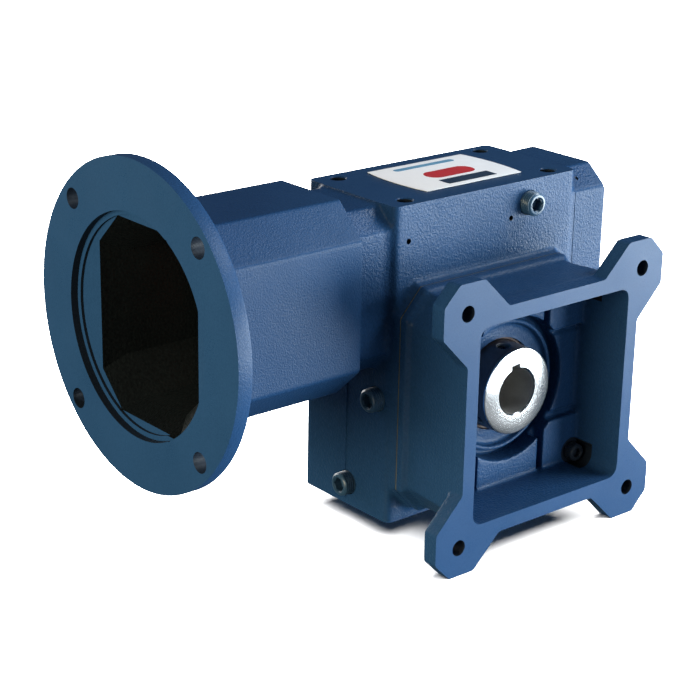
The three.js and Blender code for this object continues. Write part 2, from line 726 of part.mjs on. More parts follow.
function wormShaft() {
  const { left, extensionEnd, right, extensionR, seatR, shoulderR } = SHAFT;
  const seatLeft = WORM_BEARING_X.left + WORM_BEARING.width + GAP;
  const seatRight = WORM_BEARING_X.right - GAP;
  const profile = [
    [0, left],
    [extensionR - 1, left],
    [extensionR, left + 1],
    [extensionR, extensionEnd],
    [seatR, extensionEnd],
    [seatR, seatLeft],
    [shoulderR, seatLeft],
    [shoulderR, -WORM.half + 1],
    [seatR, -WORM.half + 2],
    [seatR, WORM.half - 2],
    [shoulderR, WORM.half - 1],
    [shoulderR, seatRight],
    [seatR, seatRight],
    [seatR, right],
    [0, right],
  ];
  const keyway = block([left - 1, left + 20], [-2.7, 2.7], [WORM_Z + 6.7, WORM_Z + 12]);
  return cut(join(turned(profile, 'x', wormAxis, 20), wormThread()), keyway);
}

// Tooth tips follow the worm's root across the gear's width, up to the blank's own radius.
function tipRadius(offset) {
  const reach = WORM.rootR + 0.9;
  const depth = Math.abs(offset) < reach ? Math.sqrt(reach ** 2 - offset ** 2) : 0;
  return Math.min(CENTRES - depth, GEAR.outerR);
}

function gearOutline() {
  const pitch = (2 * Math.PI) / TEETH;
  const rootR = (MODULE * TEETH) / 2 - 1.25 * MODULE;
  const points = [];
  for (let tooth = 0; tooth < TEETH; tooth += 1) {
    const middle = Math.PI / 2 + tooth * pitch;
    const places = [
      [-0.3 * pitch, rootR],
      [-0.105 * pitch, GEAR.outerR],
      [0.105 * pitch, GEAR.outerR],
      [0.3 * pitch, rootR],
    ];
    for (const [angle, r] of places) {
      points.push([r * Math.cos(middle + angle), r * Math.sin(middle + angle)]);
    }
  }
  return polygon(points);
}

function gearRim() {
  const width = 2 * GEAR.halfWidth;
  const leadAngle = Math.atan(LEAD / (2 * Math.PI * WORM_PITCH_R));
  const geometry = extruded(gearOutline(), width, 4).translate(0, 0, -GEAR.halfWidth);
  const position = geometry.getAttribute('position');
  for (let i = 0; i < position.count; i += 1) {
    const radius = Math.hypot(position.getX(i), position.getY(i));
    const scale = radius > 47 ? tipRadius(position.getZ(i)) / radius : 1;
    position.setXY(i, position.getX(i) * scale, position.getY(i) * scale);
  }
  twisted(geometry, Math.tan(leadAngle) / ((MODULE * TEETH) / 2));
  toFront(geometry).translate(...outputAxis);
  return cut(solid(geometry), rodOnOutput(GEAR.rimInnerR, -20, 20, 28));
}

function keySeat(width, low, high, y0, y1) {
  return block([-width / 2, width / 2], [y0, y1], [OUT_Z + low, OUT_Z + high]);
}

function gearHub() {
  const hub = rodOnOutput(GEAR.hubR, -GEAR.hubHalf, GEAR.hubHalf, 28);
  const slot = keySeat(GEAR_KEY.width + 2 * GAP, GEAR_KEY.low - GAP, 0, -20, 20);
  return cut(hub, rodOnOutput(OUTPUT.seatR + GAP, -20, 20, 24), slot);
}

function setScrewAxis(index) {
  return [OUTPUT.keyAngle, OUTPUT.keyAngle + 120][index];
}

function radialRod(radius, low, high, degrees, y, segments) {
  const geometry = new THREE.CylinderGeometry(radius, radius, high - low, segments);
  geometry.rotateX(Math.PI / 2).translate(0, 0, (low + high) / 2);
  geometry.rotateY(THREE.MathUtils.degToRad(-degrees)).translate(0, y, OUT_Z);
  return solid(geometry);
}

function outputShaft() {
  const { half, endR, seatR, seatHalf, boreR, keyAngle } = OUTPUT;
  const profile = [
    [boreR, -half],
    [endR - 0.6, -half],
    [endR, -half + 0.6],
    [endR, -seatHalf],
    [seatR, -seatHalf],
    [seatR, seatHalf],
    [endR, seatHalf],
    [endR, half - 0.6],
    [endR - 0.6, half],
    [boreR, half],
    [boreR, -half],
  ];
  const { width, top } = OUTPUT_KEYWAY;
  const slot = new THREE.BoxGeometry(width, 2 * half + 2, top).translate(0, 0, top / 2);
  slot.rotateY(THREE.MathUtils.degToRad(-keyAngle)).translate(...outputAxis);
  const reach = GEAR_KEY.halfLength + GAP;
  const gearKeySeat = keySeat(GEAR_KEY.width + 2 * GAP, -seatR - 1, GEAR_KEY.high + GAP, -reach, reach);
  const tapped = [0, 1].map((i) =>
    radialRod(SET_SCREW.r + GAP, boreR - 1, endR + 1, setScrewAxis(i), SET_SCREW.y, 8),
  );
  return cut(turned(profile, 'y', outputAxis, 32), solid(slot), gearKeySeat, ...tapped);
}

// ---------- coupling ----------

// A block of the coupling between two radii, spread evenly about one direction.
function couplingSector(innerR, outerR, spread, middle, x0, x1) {
  const half = THREE.MathUtils.degToRad(spread);
  const outline = new THREE.Shape();
  outline.absarc(0, 0, outerR, -half, half);
  outline.absarc(0, 0, innerR, half, -half, true);
  const geometry = extruded(outline, x1 - x0);
  geometry.rotateZ(THREE.MathUtils.degToRad(middle)).translate(0, 0, x0);
  return solid(turnTo(geometry, 'x').translate(...wormAxis));
}

function couplingHub() {
  const { r, bodyLow, bodyHigh, jaw, jawSpread, coreR } = COUPLING;
  const body = rodOnWorm(r, bodyLow, bodyHigh);
  const jaws = [0, 120, 240].map((middle) =>
    couplingSector(coreR + 2, r, jawSpread, middle, bodyLow - jaw, bodyLow + 1),
  );
  const bore = rodOnWorm(SHAFT.extensionR + GAP, bodyLow - 1, bodyHigh + 1, 20);
  const keyway = block([bodyLow - 1, bodyHigh + 1], [-2.7, 2.7], [WORM_Z, WORM_Z + 12.3]);
  return cut(join(body, ...jaws), bore, keyway);
}

function couplingSpider() {
  const { r, bodyLow, jaw, legSpread, coreR } = COUPLING;
  const [x0, x1] = [bodyLow - jaw, bodyLow - GAP];
  const core = ring(5, coreR, x0, x1, 'x', wormAxis, 18);
  const legs = [30, 90, 150, 210, 270, 330].map((middle) =>
    couplingSector(coreR - 1, r - 0.6, legSpread, middle, x0, x1),
  );
  return join(core, ...legs);
}

// ---------- label ----------

// A thin film whose two short sides bow outward.
function plateLabel() {
  const { x, y, halfX, halfY, bow, thickness } = LABEL;
  const outline = new THREE.Shape();
  outline.moveTo(halfX - bow, -halfY);
  outline.quadraticCurveTo(halfX + bow, 0, halfX - bow, halfY);
  outline.lineTo(bow - halfX, halfY);
  outline.quadraticCurveTo(-halfX - bow, 0, bow - halfX, -halfY);
  const film = extruded(outline, thickness, 1, 8).translate(x, y, BODY.top + GAP);
  return solid(film);
}

// ---------- assembly ----------

place('housing', housing(), paint());
place('motor_adapter', motorAdapter(), paint());
place('output_flange', outputFlange(), paint());
place('rear_cover', rearCover(), paint());
place('end_cover', endCover(), paint());

place('adapter_gasket', wormGasket(neckOutline(LEFT_NECK), BELL_END + GAP, adapterScrews), gasketPaper());
place('end_cover_gasket', wormGasket(coverOutline(), RIGHT_NECK.end + GAP, coverScrews), gasketPaper());
place('flange_gasket', flangeGasket(), gasketPaper());
place('rear_cover_gasket', rearGasket(), gasketPaper());

adapterScrews.forEach(([y, z], i) => {
  const seat = BELL_END - BELL.endWall - GAP;
  place(`adapter_screw_${i + 1}`, capScrew('x', [0, y, WORM_Z + z], seat, -1, 20), blackOxide());
});
coverScrews.forEach(([y, z], i) => {
  const top = COVER_START + COVER.thickness;
  place(`end_cover_screw_${i + 1}`, flatScrew('x', [0, y, WORM_Z + z], top, 1, 14), blackOxide());
});
flangeScrews.forEach(([x, z], i) => {
  const seat = FLOOR.pad + 1 - GAP;
  place(`flange_screw_${i + 1}`, capScrew('y', [x, 0, OUT_Z + z], seat, -1, 28), blackOxide());
});
rearScrewPlaces().forEach(([x, z], i) => {
  const seat = REAR.plateEnd + GAP;
  place(`rear_cover_screw_${i + 1}`, capScrew('y', [x, 0, OUT_Z + z], seat, 1, 20), blackOxide());
});

plugs.forEach(({ name, axis, centre, wall, sign }) => {
  place(name, pipePlug(axis, centre, wall, sign), zinc());
});

place('worm_shaft', wormShaft(), steel());
place(
  'coupling_key',
  block(
    [COUPLING_KEY.from, COUPLING_KEY.to],
    [-COUPLING_KEY.halfWidth, COUPLING_KEY.halfWidth],
    [WORM_Z + COUPLING_KEY.low, WORM_Z + COUPLING_KEY.high],
  ),
  steel(),
);
place('coupling_hub', couplingHub(), castIron());
place('coupling_spider', couplingSpider(), polyurethane());
place(
  'worm_locknut',
  ring(
    SHAFT.seatR + GAP,
    LOCKNUT.r,
    WORM_BEARING_X.right + WORM_BEARING.width + GAP,
    LOCKNUT.end,
    'x',
    wormAxis,
    16,
  ),
  blackOxide(),
);
bearing('worm_bearing_left', 'x', wormAxis, WORM_BEARING_X.left, WORM_BEARING.width, WORM_BEARING);
bearing('worm_bearing_right', 'x', wormAxis, WORM_BEARING_X.right, WORM_BEARING.width, WORM_BEARING);
place(
  'worm_seal',
  ring(SHAFT.seatR + GAP, WORM_BORE_R - GAP, WORM_SEAL.x0, WORM_SEAL.x1, 'x', wormAxis, 24),
  rubber(),
);

place('output_shaft', outputShaft(), steel());
place('gear_hub', gearHub(), castIron());
place('gear_rim', gearRim(), bronze());
place(
  'gear_key',
  keySeat(GEAR_KEY.width, GEAR_KEY.low, GEAR_KEY.high, -GEAR_KEY.halfLength, GEAR_KEY.halfLength),
  steel(),
);
for (const [name, side] of [
  ['front', -1],
  ['rear', 1],
]) {
  const b = OUT_BEARING;
  const start = side < 0 ? -b.end : b.start;
  bearing(`output_bearing_${name}`, 'y', outputAxis, start, b.end - b.start, b);
  const spacer = [GEAR.hubHalf + GAP, b.start - GAP].map((y) => side * y);
  place(`gear_spacer_${name}`, ring(OUTPUT.seatR + GAP, SPACER_R, ...spacer, 'y', outputAxis, 24), steel());
  const seal = [OUT_SEAL.start, OUT_SEAL.end].map((y) => side * y);
  const { innerR, outerR } = OUT_SEAL;
  place(`output_seal_${name}`, ring(innerR, outerR, ...seal, 'y', outputAxis, 24), rubber());
}
for (const i of [0, 1]) {
  const grub = radialRod(SET_SCREW.r, SET_SCREW.low, SET_SCREW.high, setScrewAxis(i), SET_SCREW.y, 8);
  const { socketR, socket: depth, high, y } = SET_SCREW;
  const socket = radialRod(socketR, high - depth, high + 1, setScrewAxis(i), y, 6);
  place(`shaft_set_screw_${i + 1}`, cut(grub, socket), blackOxide());
}

place('plate_label', plateLabel(), labelFilm());

export default assembly;
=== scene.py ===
"""Looks of the worm gearbox: castings with rounded edges, machined faces, fasteners, shaft and studio."""

import math

import bpy
from mathutils import Matrix, Vector


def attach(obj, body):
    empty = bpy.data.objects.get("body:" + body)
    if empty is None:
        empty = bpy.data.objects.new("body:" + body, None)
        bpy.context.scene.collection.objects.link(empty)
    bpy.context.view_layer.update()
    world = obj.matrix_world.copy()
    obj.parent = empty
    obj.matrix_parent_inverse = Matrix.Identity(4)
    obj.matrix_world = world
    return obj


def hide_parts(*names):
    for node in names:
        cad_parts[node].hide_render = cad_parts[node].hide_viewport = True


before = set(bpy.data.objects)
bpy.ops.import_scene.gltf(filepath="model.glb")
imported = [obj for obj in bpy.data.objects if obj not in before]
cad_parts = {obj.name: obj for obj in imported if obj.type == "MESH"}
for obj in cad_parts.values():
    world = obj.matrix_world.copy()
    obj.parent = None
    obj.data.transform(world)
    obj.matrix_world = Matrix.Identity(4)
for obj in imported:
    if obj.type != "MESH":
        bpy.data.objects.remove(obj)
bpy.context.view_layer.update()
scene = bpy.context.scene

MM = 0.001  # pieces are built in millimetres and scaled to metres when they are finished

# ---------- dimensions, in millimetres ----------

GAP = 0.3
JOINT = 1.1  # distance between two castings with a gasket between them
STOCK = 2  # extra length on a casting, which machining takes off again

OUT_Z = 69.2
WORM_Z = 129.5
ON_OUTPUT = (0, OUT_Z)  # (x, z) of the output axis
ON_WORM = (0, WORM_Z)  # (y, z) of the worm axis

BODY_X, BODY_Y, BODY_TOP, BODY_CORNER = 65.5, 35.3, 175, 3.5
PAD_X, PAD_Z, PAD_CUT_X, PAD_CUT_Z, PAD_HEIGHT = 64.6, 63.1, 13.2, 14.8, 4
CAVITY_X, CAVITY_Y, CAVITY_LOW, CAVITY_HIGH = 57.5, 27.3, -56, 72
UPPER_CAVITY_X, UPPER_CAVITY_HIGH = 39, 97
WORM_BORE, FRONT_OPENING, REAR_OPENING = 23.8, 54, 40
NECK_Y, NECK_Z, NECK_CUT_Y, NECK_CUT_Z = 35, 44, 13, 11
LEFT_NECK_Y, LEFT_NECK_CUT_Y = 32, 10.5
NECK_LEFT, NECK_RIGHT = -91.6, 89.2
NECK_STEP, NECK_STEP_START, NECK_STEP_END = 0.7, -69, -66.2
TOP_TAP_X, TOP_TAP_Y, TOP_TAP_R, TOP_TAP_DEPTH, BASE_TAP_DEPTH = 51.9, 26.8, 4.25, 18, 10
NAME_PIN_X, NAME_PIN_Z, NAME_PIN_R = (-55.9, 17), 86.5, 1.5
SEAM_X, SEAM_HALF = 66.7, 0.7

BELL_FACE, BELL_RIM_R, BELL_RIM = -200, 83.5, 8.5
BELL_Y, BELL_Z, BELL_CUT_Y, BELL_CUT_Z, BELL_WALL = 42, 51.75, 18.5, 17.35, 7
BELL_END = NECK_LEFT - JOINT
BELL_SHAFT_HOLE_R = 14
MOUTH_Y, MOUTH_Z, MOUTH_CUT, MOUTH_SHIFT = 41.4, 50.5, 17, -3.3
REGISTER_R, REGISTER_DEPTH, RELIEF_R, RELIEF_DEPTH = 57.15, 4, 54.55, 5.6
BELL_BOLT_R, BELL_HOLE_R = 74.61, 5.35

FLANGE_FACE, FLANGE_PLATE, FLANGE_FRAME = -89, 9.5, 62.3
EAR, EAR_FLAT, EAR_ROOT, EAR_CUT = 79.5, 16.8, 34.8, 10.2
FLANGE_BOLT, FLANGE_BOLT_R = 63.5, 4.35
WINDOW, WINDOW_CORNER, WINDOW_DRAFT = 54.3, 6, 1.2
FLOOR_GROOVE, FLOOR_PANEL, FLOOR_PAD, PAD_ARC_R = -46, -55.5, -58.5, 40.5
GROOVE_HALF, GROOVE_X, GROOVE_Z, FLOOR_EDGE = 2, 24.8, 24.2, 51.4
GROOVE_FILL_HALF, SHALLOW_GROOVE, DEEP_GROOVE, FLOOR_CORNER = 4, 1.6, 5, 3
CARRIER_R, SPOT_FACE_R = 53.4, 7.6
BOSS_FACE, BOSS_INNER_R, BOSS_RIDGE, BOSS_R, LIP_R, LIP = 48, 34, 51, 37, 26, 1.7
BEARING_BORE, SEAL_BORE, CARRIER_END, CARRIER_SHOULDER = 36.3, 32.6, 18.5, 32.1

SHAFT_HALF, SHAFT_R, SEAT_R, SEAT_HALF, BORE_R = 63, 24.1, 25, 37.5, 12.7
KEY_ANGLE, KEYWAY_WIDTH, KEYWAY_TOP = 6.6, 6.35, 15.6
SET_SCREW_Y, SET_SCREW_R, SET_SCREW_HEX = -54, 3, 1.6
SET_SCREW_LOW, SET_SCREW_HIGH = 17.2, 22.4
SET_SCREW_ANGLES = (KEY_ANGLE, KEY_ANGLE + 120)
GEAR_KEY_X, GEAR_KEY_Y, GEAR_KEY_LOW, GEAR_KEY_HIGH = 4.3, 12.8, -26, -20.7

REAR_R, REAR_SPIGOT_R, REAR_END, REAR_SCREW_R = 50, 39.7, 44, 45
REAR_SPOT_FACE_R = 5.4
COVER_Y, COVER_Z, COVER_CUT_Y, COVER_CUT_Z, COVER_THICK = 31, 40, 12, 10, 4
SPIGOT_INNER_R, SPIGOT_R, SPIGOT_START = 17.5, 23.2, 84.3

SCREW_HEAD_R, SCREW_HEAD, SCREW_SHANK_R, SCREW_HEX, SCREW_SOCKET = 5, 6, 3, 2.9, 3
SCREW_HOLE_R, SCREW_CROWN_R, KNURL_TEETH, KNURL_DEPTH = 3.5, 4.86, 36, 0.22
FLAT_HEAD_R, FLAT_RIM, FLAT_CONE, FLAT_HEX, FLAT_SOCKET = 5, 0.4, 2.6, 1.9, 1.8
PLUG_R, PLUG_HEX, PLUG_SOCKET, PLUG_PROUD, PLUG_BURIED = 6.6, 3.7, 5, 6.6, 7
PLUG_PITCH, PLUG_THREAD = 1.41, 0.6

LABEL_X, LABEL_Y, LABEL_HALF_X, LABEL_HALF_Y, LABEL_BOW = 1.9, 1.6, 36.5, 24, 2.4
LABEL_THICK, LABEL_STEPS = 0.35, 12

FLANGE_BACK = -BODY_Y - PAD_HEIGHT - JOINT
REAR_START = BODY_Y + JOINT
COVER_START = NECK_RIGHT + JOINT

# ---------- materials ----------


def shader(name, roughness=0.5, metallic=0.0):
    material = bpy.data.materials.new(name)
    material.use_nodes = True
    tree = material.node_tree
    tree.nodes.clear()
    output = tree.nodes.new("ShaderNodeOutputMaterial")
    surface = tree.nodes.new("ShaderNodeBsdfPrincipled")
    surface.inputs["Roughness"].default_value = roughness
    surface.inputs["Metallic"].default_value = metallic
    tree.links.new(surface.outputs["BSDF"], output.inputs["Surface"])
    return material, tree, surface


def object_coordinates(tree, stretch=(1, 1, 1)):
    place = tree.nodes.new("ShaderNodeTexCoord")
    mapping = tree.nodes.new("ShaderNodeMapping")
    mapping.inputs["Scale"].default_value = stretch
    tree.links.new(place.outputs["Object"], mapping.inputs["Vector"])
    return mapping.outputs["Vector"]


def noise(tree, where, grain_mm, detail=2.0, rough=0.5):
    """Noise whose lumps are about grain_mm across."""
    node = tree.nodes.new("ShaderNodeTexNoise")
    node.inputs["Scale"].default_value = 1000 / grain_mm
    node.inputs["Detail"].default_value = detail
    node.inputs["Roughness"].default_value = rough
    tree.links.new(where, node.inputs["Vector"])
    return node.outputs["Fac"]


def to_range(tree, value, low, high, from_low=0.3, from_high=0.7):
    node = tree.nodes.new("ShaderNodeMapRange")
    node.inputs["From Min"].default_value = from_low
    node.inputs["From Max"].default_value = from_high
    node.inputs["To Min"].default_value = low
    node.inputs["To Max"].default_value = high
    tree.links.new(value, node.inputs["Value"])
    return node.outputs["Result"]


def weighted_sum(tree, *terms):
    """Adds (value, weight) pairs."""
    total = None
    for value, weight in terms:
        node = tree.nodes.new("ShaderNodeMath")
        node.operation = "MULTIPLY_ADD"
        tree.links.new(value, node.inputs[0])
        node.inputs[1].default_value = weight
        if total is None:
            node.inputs[2].default_value = 0
        else:
            tree.links.new(total, node.inputs[2])
        total = node.outputs[0]
    return total


def tinted(tree, value, low_colour, high_colour):
    ramp = tree.nodes.new("ShaderNodeMix")
    ramp.data_type = "RGBA"
    ramp.inputs["A"].default_value = (*low_colour, 1)
    ramp.inputs["B"].default_value = (*high_colour, 1)
    tree.links.new(value, ramp.inputs["Factor"])
    return ramp.outputs["Result"]


def bump(tree, surface, height, depth_mm):
    node = tree.nodes.new("ShaderNodeBump")
    node.inputs["Strength"].default_value = 1.0
    node.inputs["Distance"].default_value = depth_mm * MM
    tree.links.new(height, node.inputs["Height"])
    tree.links.new(node.outputs["Normal"], surface.inputs["Normal"])


PAINT_SPECULAR = 0.085


def paint(name, dark, light, grain_mm, depth_mm, roughness):
    """Enamel over cast iron: lumps the size of sand grains on soft waves."""
    material, tree, surface = shader(name)
    where = object_coordinates(tree)
    grain = noise(tree, where, grain_mm, 1.0, 0.5)
    fine = noise(tree, where, grain_mm * 0.45, 0.0)
    waves = noise(tree, where, 18, 2.0)
    patches = noise(tree, where, 60, 3.0)
    tone = to_range(tree, weighted_sum(tree, (patches, 0.5), (grain, 0.5)), 0, 1)
    tree.links.new(tinted(tree, tone, dark, light), surface.inputs["Base Color"])
    unevenness = weighted_sum(tree, (waves, 0.5), (fine, 0.5))
    shine = to_range(tree, unevenness, roughness - 0.05, roughness + 0.08)
    tree.links.new(shine, surface.inputs["Roughness"])
    surface.inputs["Specular IOR Level"].default_value = PAINT_SPECULAR
    bump(tree, surface, weighted_sum(tree, (grain, 1.0), (fine, 0.35), (waves, 1.2)), depth_mm)
    return material


PAINT_DARK = (0.011, 0.038, 0.098)
PAINT_LIGHT = (0.016, 0.051, 0.128)
cast_paint = paint("cast_paint", PAINT_DARK, PAINT_LIGHT, 1.25, 0.26, 0.33)
bell_paint = paint("bell_paint", PAINT_DARK, PAINT_LIGHT, 1.0, 0.13, 0.36)
machined_paint = paint("machined_paint", PAINT_DARK, PAINT_LIGHT, 0.9, 0.015, 0.31)
# Near-black paint on the castings' insides, bores and blind holes: painted shade standing in for the dark
# where little light gets in
painted_shade_inner = paint("painted_shade_inner", (0.003, 0.004, 0.005), (0.008, 0.011, 0.013), 1.4, 0.3, 0.50)
# Dark paint for holes, the small pit and the register wall: painted shade, darker than the enamel around it
painted_shade_hole = paint("painted_shade_hole", (0.008, 0.012, 0.020), (0.014, 0.020, 0.032), 1.0, 0.03, 0.45)


def metal(name, dark, light, roughness, grain_mm, depth_mm, stretch=(1, 1, 1)):
    """Metal with a finish whose marks are grain_mm wide and drawn out by stretch."""
    material, tree, surface = shader(name, roughness, 1.0)
    where = object_coordinates(tree, stretch)
    marks = noise(tree, where, grain_mm, 3.0, 0.6)
    stains = noise(tree, object_coordinates(tree), 9, 3.0)
    tone = to_range(tree, weighted_sum(tree, (stains, 0.6), (marks, 0.4)), 0, 1)
    tree.links.new(tinted(tree, tone, dark, light), surface.inputs["Base Color"])
    tree.links.new(to_range(tree, marks, roughness - 0.06, roughness + 0.08), surface.inputs["Roughness"])
    bump(tree, surface, marks, depth_mm)
    return material


FACING_RINGS = 4500  # noise scale of the turned rings, per metre


def faced_steel(name, axis, centre):
    """The end face of a turned part: fine rings round its axis."""
    material, tree, surface = shader(name, 0.24, 1.0)
    place = tree.nodes.new("ShaderNodeTexCoord")
    shift = tree.nodes.new("ShaderNodeVectorMath")
    shift.operation = "SUBTRACT"
    shift.inputs[1].default_value = [c * MM for c in centre]
    tree.links.new(place.outputs["Object"], shift.inputs[0])
    flat = tree.nodes.new("ShaderNodeVectorMath")
    flat.operation = "MULTIPLY"
    flat.inputs[1].default_value = [0 if i == "xyz".index(axis) else 1 for i in range(3)]
    tree.links.new(shift.outputs["Vector"], flat.inputs[0])
    reach = tree.nodes.new("ShaderNodeVectorMath")
    reach.operation = "LENGTH"
    tree.links.new(flat.outputs["Vector"], reach.inputs[0])
    rings = tree.nodes.new("ShaderNodeTexNoise")
    rings.noise_dimensions = "1D"
    rings.inputs["Scale"].default_value = FACING_RINGS
    rings.inputs["Detail"].default_value = 3
    tree.links.new(reach.outputs["Value"], rings.inputs["W"])
    ring_fac = rings.outputs["Fac"]
    clouds = noise(tree, object_coordinates(tree), 6, 2.0)
    tone = to_range(tree, weighted_sum(tree, (ring_fac, 0.7), (clouds, 0.3)), 0, 1)
    colour = tinted(tree, tone, (0.40, 0.41, 0.43), (0.52, 0.53, 0.55))
    tree.links.new(colour, surface.inputs["Base Color"])
    tree.links.new(to_range(tree, ring_fac, 0.15, 0.24), surface.inputs["Roughness"])
    surface.inputs["Anisotropic"].default_value = 0.6
    surface.inputs["Anisotropic Rotation"].default_value = 0.25
    tangent = tree.nodes.new("ShaderNodeTangent")
    tangent.direction_type = "RADIAL"
    tangent.axis = axis.upper()
    tree.links.new(tangent.outputs["Tangent"], surface.inputs["Tangent"])
    bump(tree, surface, ring_fac, 0.01)
    return material


def dull(name, dark, light, roughness, grain_mm, depth_mm):
    """A finish with no metal mirror: rubber, paper, film, polyurethane, oxide, or a shaded bore."""
    material, tree, surface = shader(name, roughness)
    where = object_coordinates(tree)
    grain = noise(tree, where, grain_mm, 3.0, 0.6)
    patches = noise(tree, where, 14, 2.0)
    tone = to_range(tree, weighted_sum(tree, (grain, 0.5), (patches, 0.5)), 0, 1)
    tree.links.new(tinted(tree, tone, dark, light), surface.inputs["Base Color"])
    tree.links.new(to_range(tree, grain, roughness - 0.06, roughness + 0.08), surface.inputs["Roughness"])
    bump(tree, surface, grain, depth_mm)
    return material


shaft_face = faced_steel("shaft_face", "y", (0, 0, OUT_Z))
ground_steel = metal("ground_steel", (0.50, 0.52, 0.54), (0.66, 0.67, 0.69), 0.26, 0.5, 0.01, (1, 0.1, 1))
bore_steel = dull("bore_steel", (0.20, 0.19, 0.18), (0.29, 0.28, 0.27), 0.42, 0.9, 0.02)
bearing_steel = metal("bearing_steel", (0.52, 0.54, 0.56), (0.70, 0.71, 0.73), 0.20, 0.4, 0.004)
black_oxide = dull("black_oxide", (0.060, 0.056, 0.070), (0.105, 0.098, 0.115), 0.36, 0.9, 0.02)
screw_oxide = dull("screw_oxide", (0.008, 0.012, 0.020), (0.018, 0.026, 0.040), 0.32, 0.7, 0.02)
plug_paint = dull("plug_paint", (0.018, 0.050, 0.098), (0.028, 0.070, 0.130), 0.34, 0.8, 0.02)
worm_steel = metal("worm_steel", (0.34, 0.35, 0.37), (0.52, 0.53, 0.55), 0.25, 0.6, 0.01, (0.1, 1, 1))
bare_iron = metal("bare_iron", (0.10, 0.105, 0.115), (0.19, 0.20, 0.21), 0.50, 1.2, 0.12)
bronze = metal("bronze", (0.48, 0.30, 0.11), (0.66, 0.44, 0.19), 0.30, 0.9, 0.02)
rubber = dull("rubber", (0.016, 0.010, 0.009), (0.075, 0.030, 0.024), 0.62, 0.8, 0.03)
polyurethane = dull("polyurethane", (0.36, 0.050, 0.020), (0.50, 0.085, 0.035), 0.45, 1.5, 0.04)
gasket_paper = dull("gasket_paper", (0.050, 0.052, 0.045), (0.100, 0.104, 0.092), 0.85, 0.5, 0.05)
label_white = dull("label_white", (0.86, 0.87, 0.90), (0.90, 0.91, 0.94), 0.42, 3.0, 0.01)
label_red = dull("label_red", (0.42, 0.022, 0.030), (0.52, 0.030, 0.040), 0.40, 3.0, 0.01)
label_blue = dull("label_blue", (0.10, 0.26, 0.42), (0.14, 0.33, 0.50), 0.40, 3.0, 0.01)
label_dark = dull("label_dark", (0.012, 0.028, 0.060), (0.020, 0.040, 0.080), 0.40, 3.0, 0.01)

# ---------- building meshes, in millimetres ----------

AXES = {
    "x": lambda a, b, t: (t, a, b),
    "y": lambda a, b, t: (a, t, b),
    "z": lambda a, b, t: (a, b, t),
}


def mesh_object(name, points, faces, material=None):
    mesh = bpy.data.meshes.new(name)
    mesh.from_pydata(points, [], faces)
    made = bpy.data.objects.new(name, mesh)
    scene.collection.objects.link(made)
    if material:
        mesh.materials.append(material)
    return outward(made)


def signed_volume(mesh):
    mesh.calc_loop_triangles()
    points = [v.co for v in mesh.vertices]
    corners = ([points[i] for i in t.vertices] for t in mesh.loop_triangles)
    return sum(a.dot(b.cross(c)) for a, b, c in corners)


def outward(made):
    """Turns a closed mesh's faces outward."""
    if signed_volume(made.data) < 0:
        made.data.flip_normals()
    return made


def loft(axis, sections, material=None):
    """A solid through outlines of equal point counts: sections are (position along axis, outline)."""
    to_point = AXES[axis]
    points = [to_point(a, b, t) for t, outline in sections for a, b in outline]
    count = len(sections[0][1])
    faces = [list(range(count)), [len(points) - 1 - i for i in range(count)]]
    for row in range(len(sections) - 1):
        for i in range(count):
            j = (i + 1) % count
            low, high = row * count, (row + 1) * count
            faces.append([low + j, low + i, high + i, high + j])
    return mesh_object("loft", points, faces, material)


def prism(axis, outline, start, end, material=None):
    return loft(axis, [(start, outline), (end, outline)], material)


def circle(radius, centre, segments):
    steps = [i * 2 * math.pi / segments for i in range(segments)]
    return [(centre[0] + radius * math.cos(a), centre[1] + radius * math.sin(a)) for a in steps]


def lathe(axis, centre, profile, segments=64, material=None):
    """A turned solid from (radius, position) points, which start and end on the axis or make a loop."""
    to_point = AXES[axis]
    on_axis = profile[0][0] == 0
    rows = profile[1:-1] if on_axis else profile
    points = [to_point(a, b, t) for r, t in rows for a, b in circle(r, centre, segments)]
    faces = []
    pairs = list(zip(range(len(rows)), range(1, len(rows))))
    if not on_axis:
        pairs.append((len(rows) - 1, 0))
    for row, following in pairs:
        for i in range(segments):
            j = (i + 1) % segments
            low, high = row * segments, following * segments
            faces.append([low + j, low + i, high + i, high + j])
    if on_axis:
        last = (len(rows) - 1) * segments
        faces.append(list(range(segments)))
        faces.append([last + segments - 1 - i for i in range(segments)])
    return mesh_object("lathe", points, faces, material)


def rod(axis, centre, radius, start, end, segments=48, material=None):
    return prism(axis, circle(radius, centre, segments), start, end, material)


def box(x, y, z, material=None):
    return prism("z", [(x[0], y[0]), (x[1], y[0]), (x[1], y[1]), (x[0], y[1])], z[0], z[1], material)


def octagon(half_a, half_b, cut_a, cut_b, centre=(0, 0)):
    quarter = [(half_a, half_b - cut_b), (half_a - cut_a, half_b)]
    upper = quarter + [(-a, b) for a, b in reversed(quarter)]
    outline = upper + [(-a, -b) for a, b in upper]
    return [(centre[0] + a, centre[1] + b) for a, b in outline]


def rounded_box(half_a, half_b, radius, centre=(0, 0), steps=6):
    outline = []
    for quarter, (sa, sb) in enumerate([(1, 1), (-1, 1), (-1, -1), (1, -1)]):
        for i in range(steps + 1):
            angle = (quarter + i / steps) * math.pi / 2
            a = sa * (half_a - radius) + radius * math.cos(angle)
            b = sb * (half_b - radius) + radius * math.sin(angle)
            outline.append((centre[0] + a, centre[1] + b))
    return outline


def corners(half_a, half_b):
    return [(sa * half_a, sb * half_b) for sa, sb in [(-1, 1), (1, 1), (1, -1), (-1, -1)]]


def holes(axis, places, start, end, material, radius=SCREW_HOLE_R, segments=20):
    """Cutters for round holes. The places are taken from the worm axis along X, else the output axis."""
    height = WORM_Z if axis == "x" else OUT_Z
    return [rod(axis, (a, height + z), radius, start, end, segments, material) for a, z in places]


def apply_modifiers(made):
    depsgraph = bpy.context.evaluated_depsgraph_get()
    depsgraph.update()
    mesh = bpy.data.meshes.new_from_object(made.evaluated_get(depsgraph), depsgraph=depsgraph)
    old = made.data
    made.modifiers.clear()
    made.data = mesh
    bpy.data.meshes.remove(old)
    return made


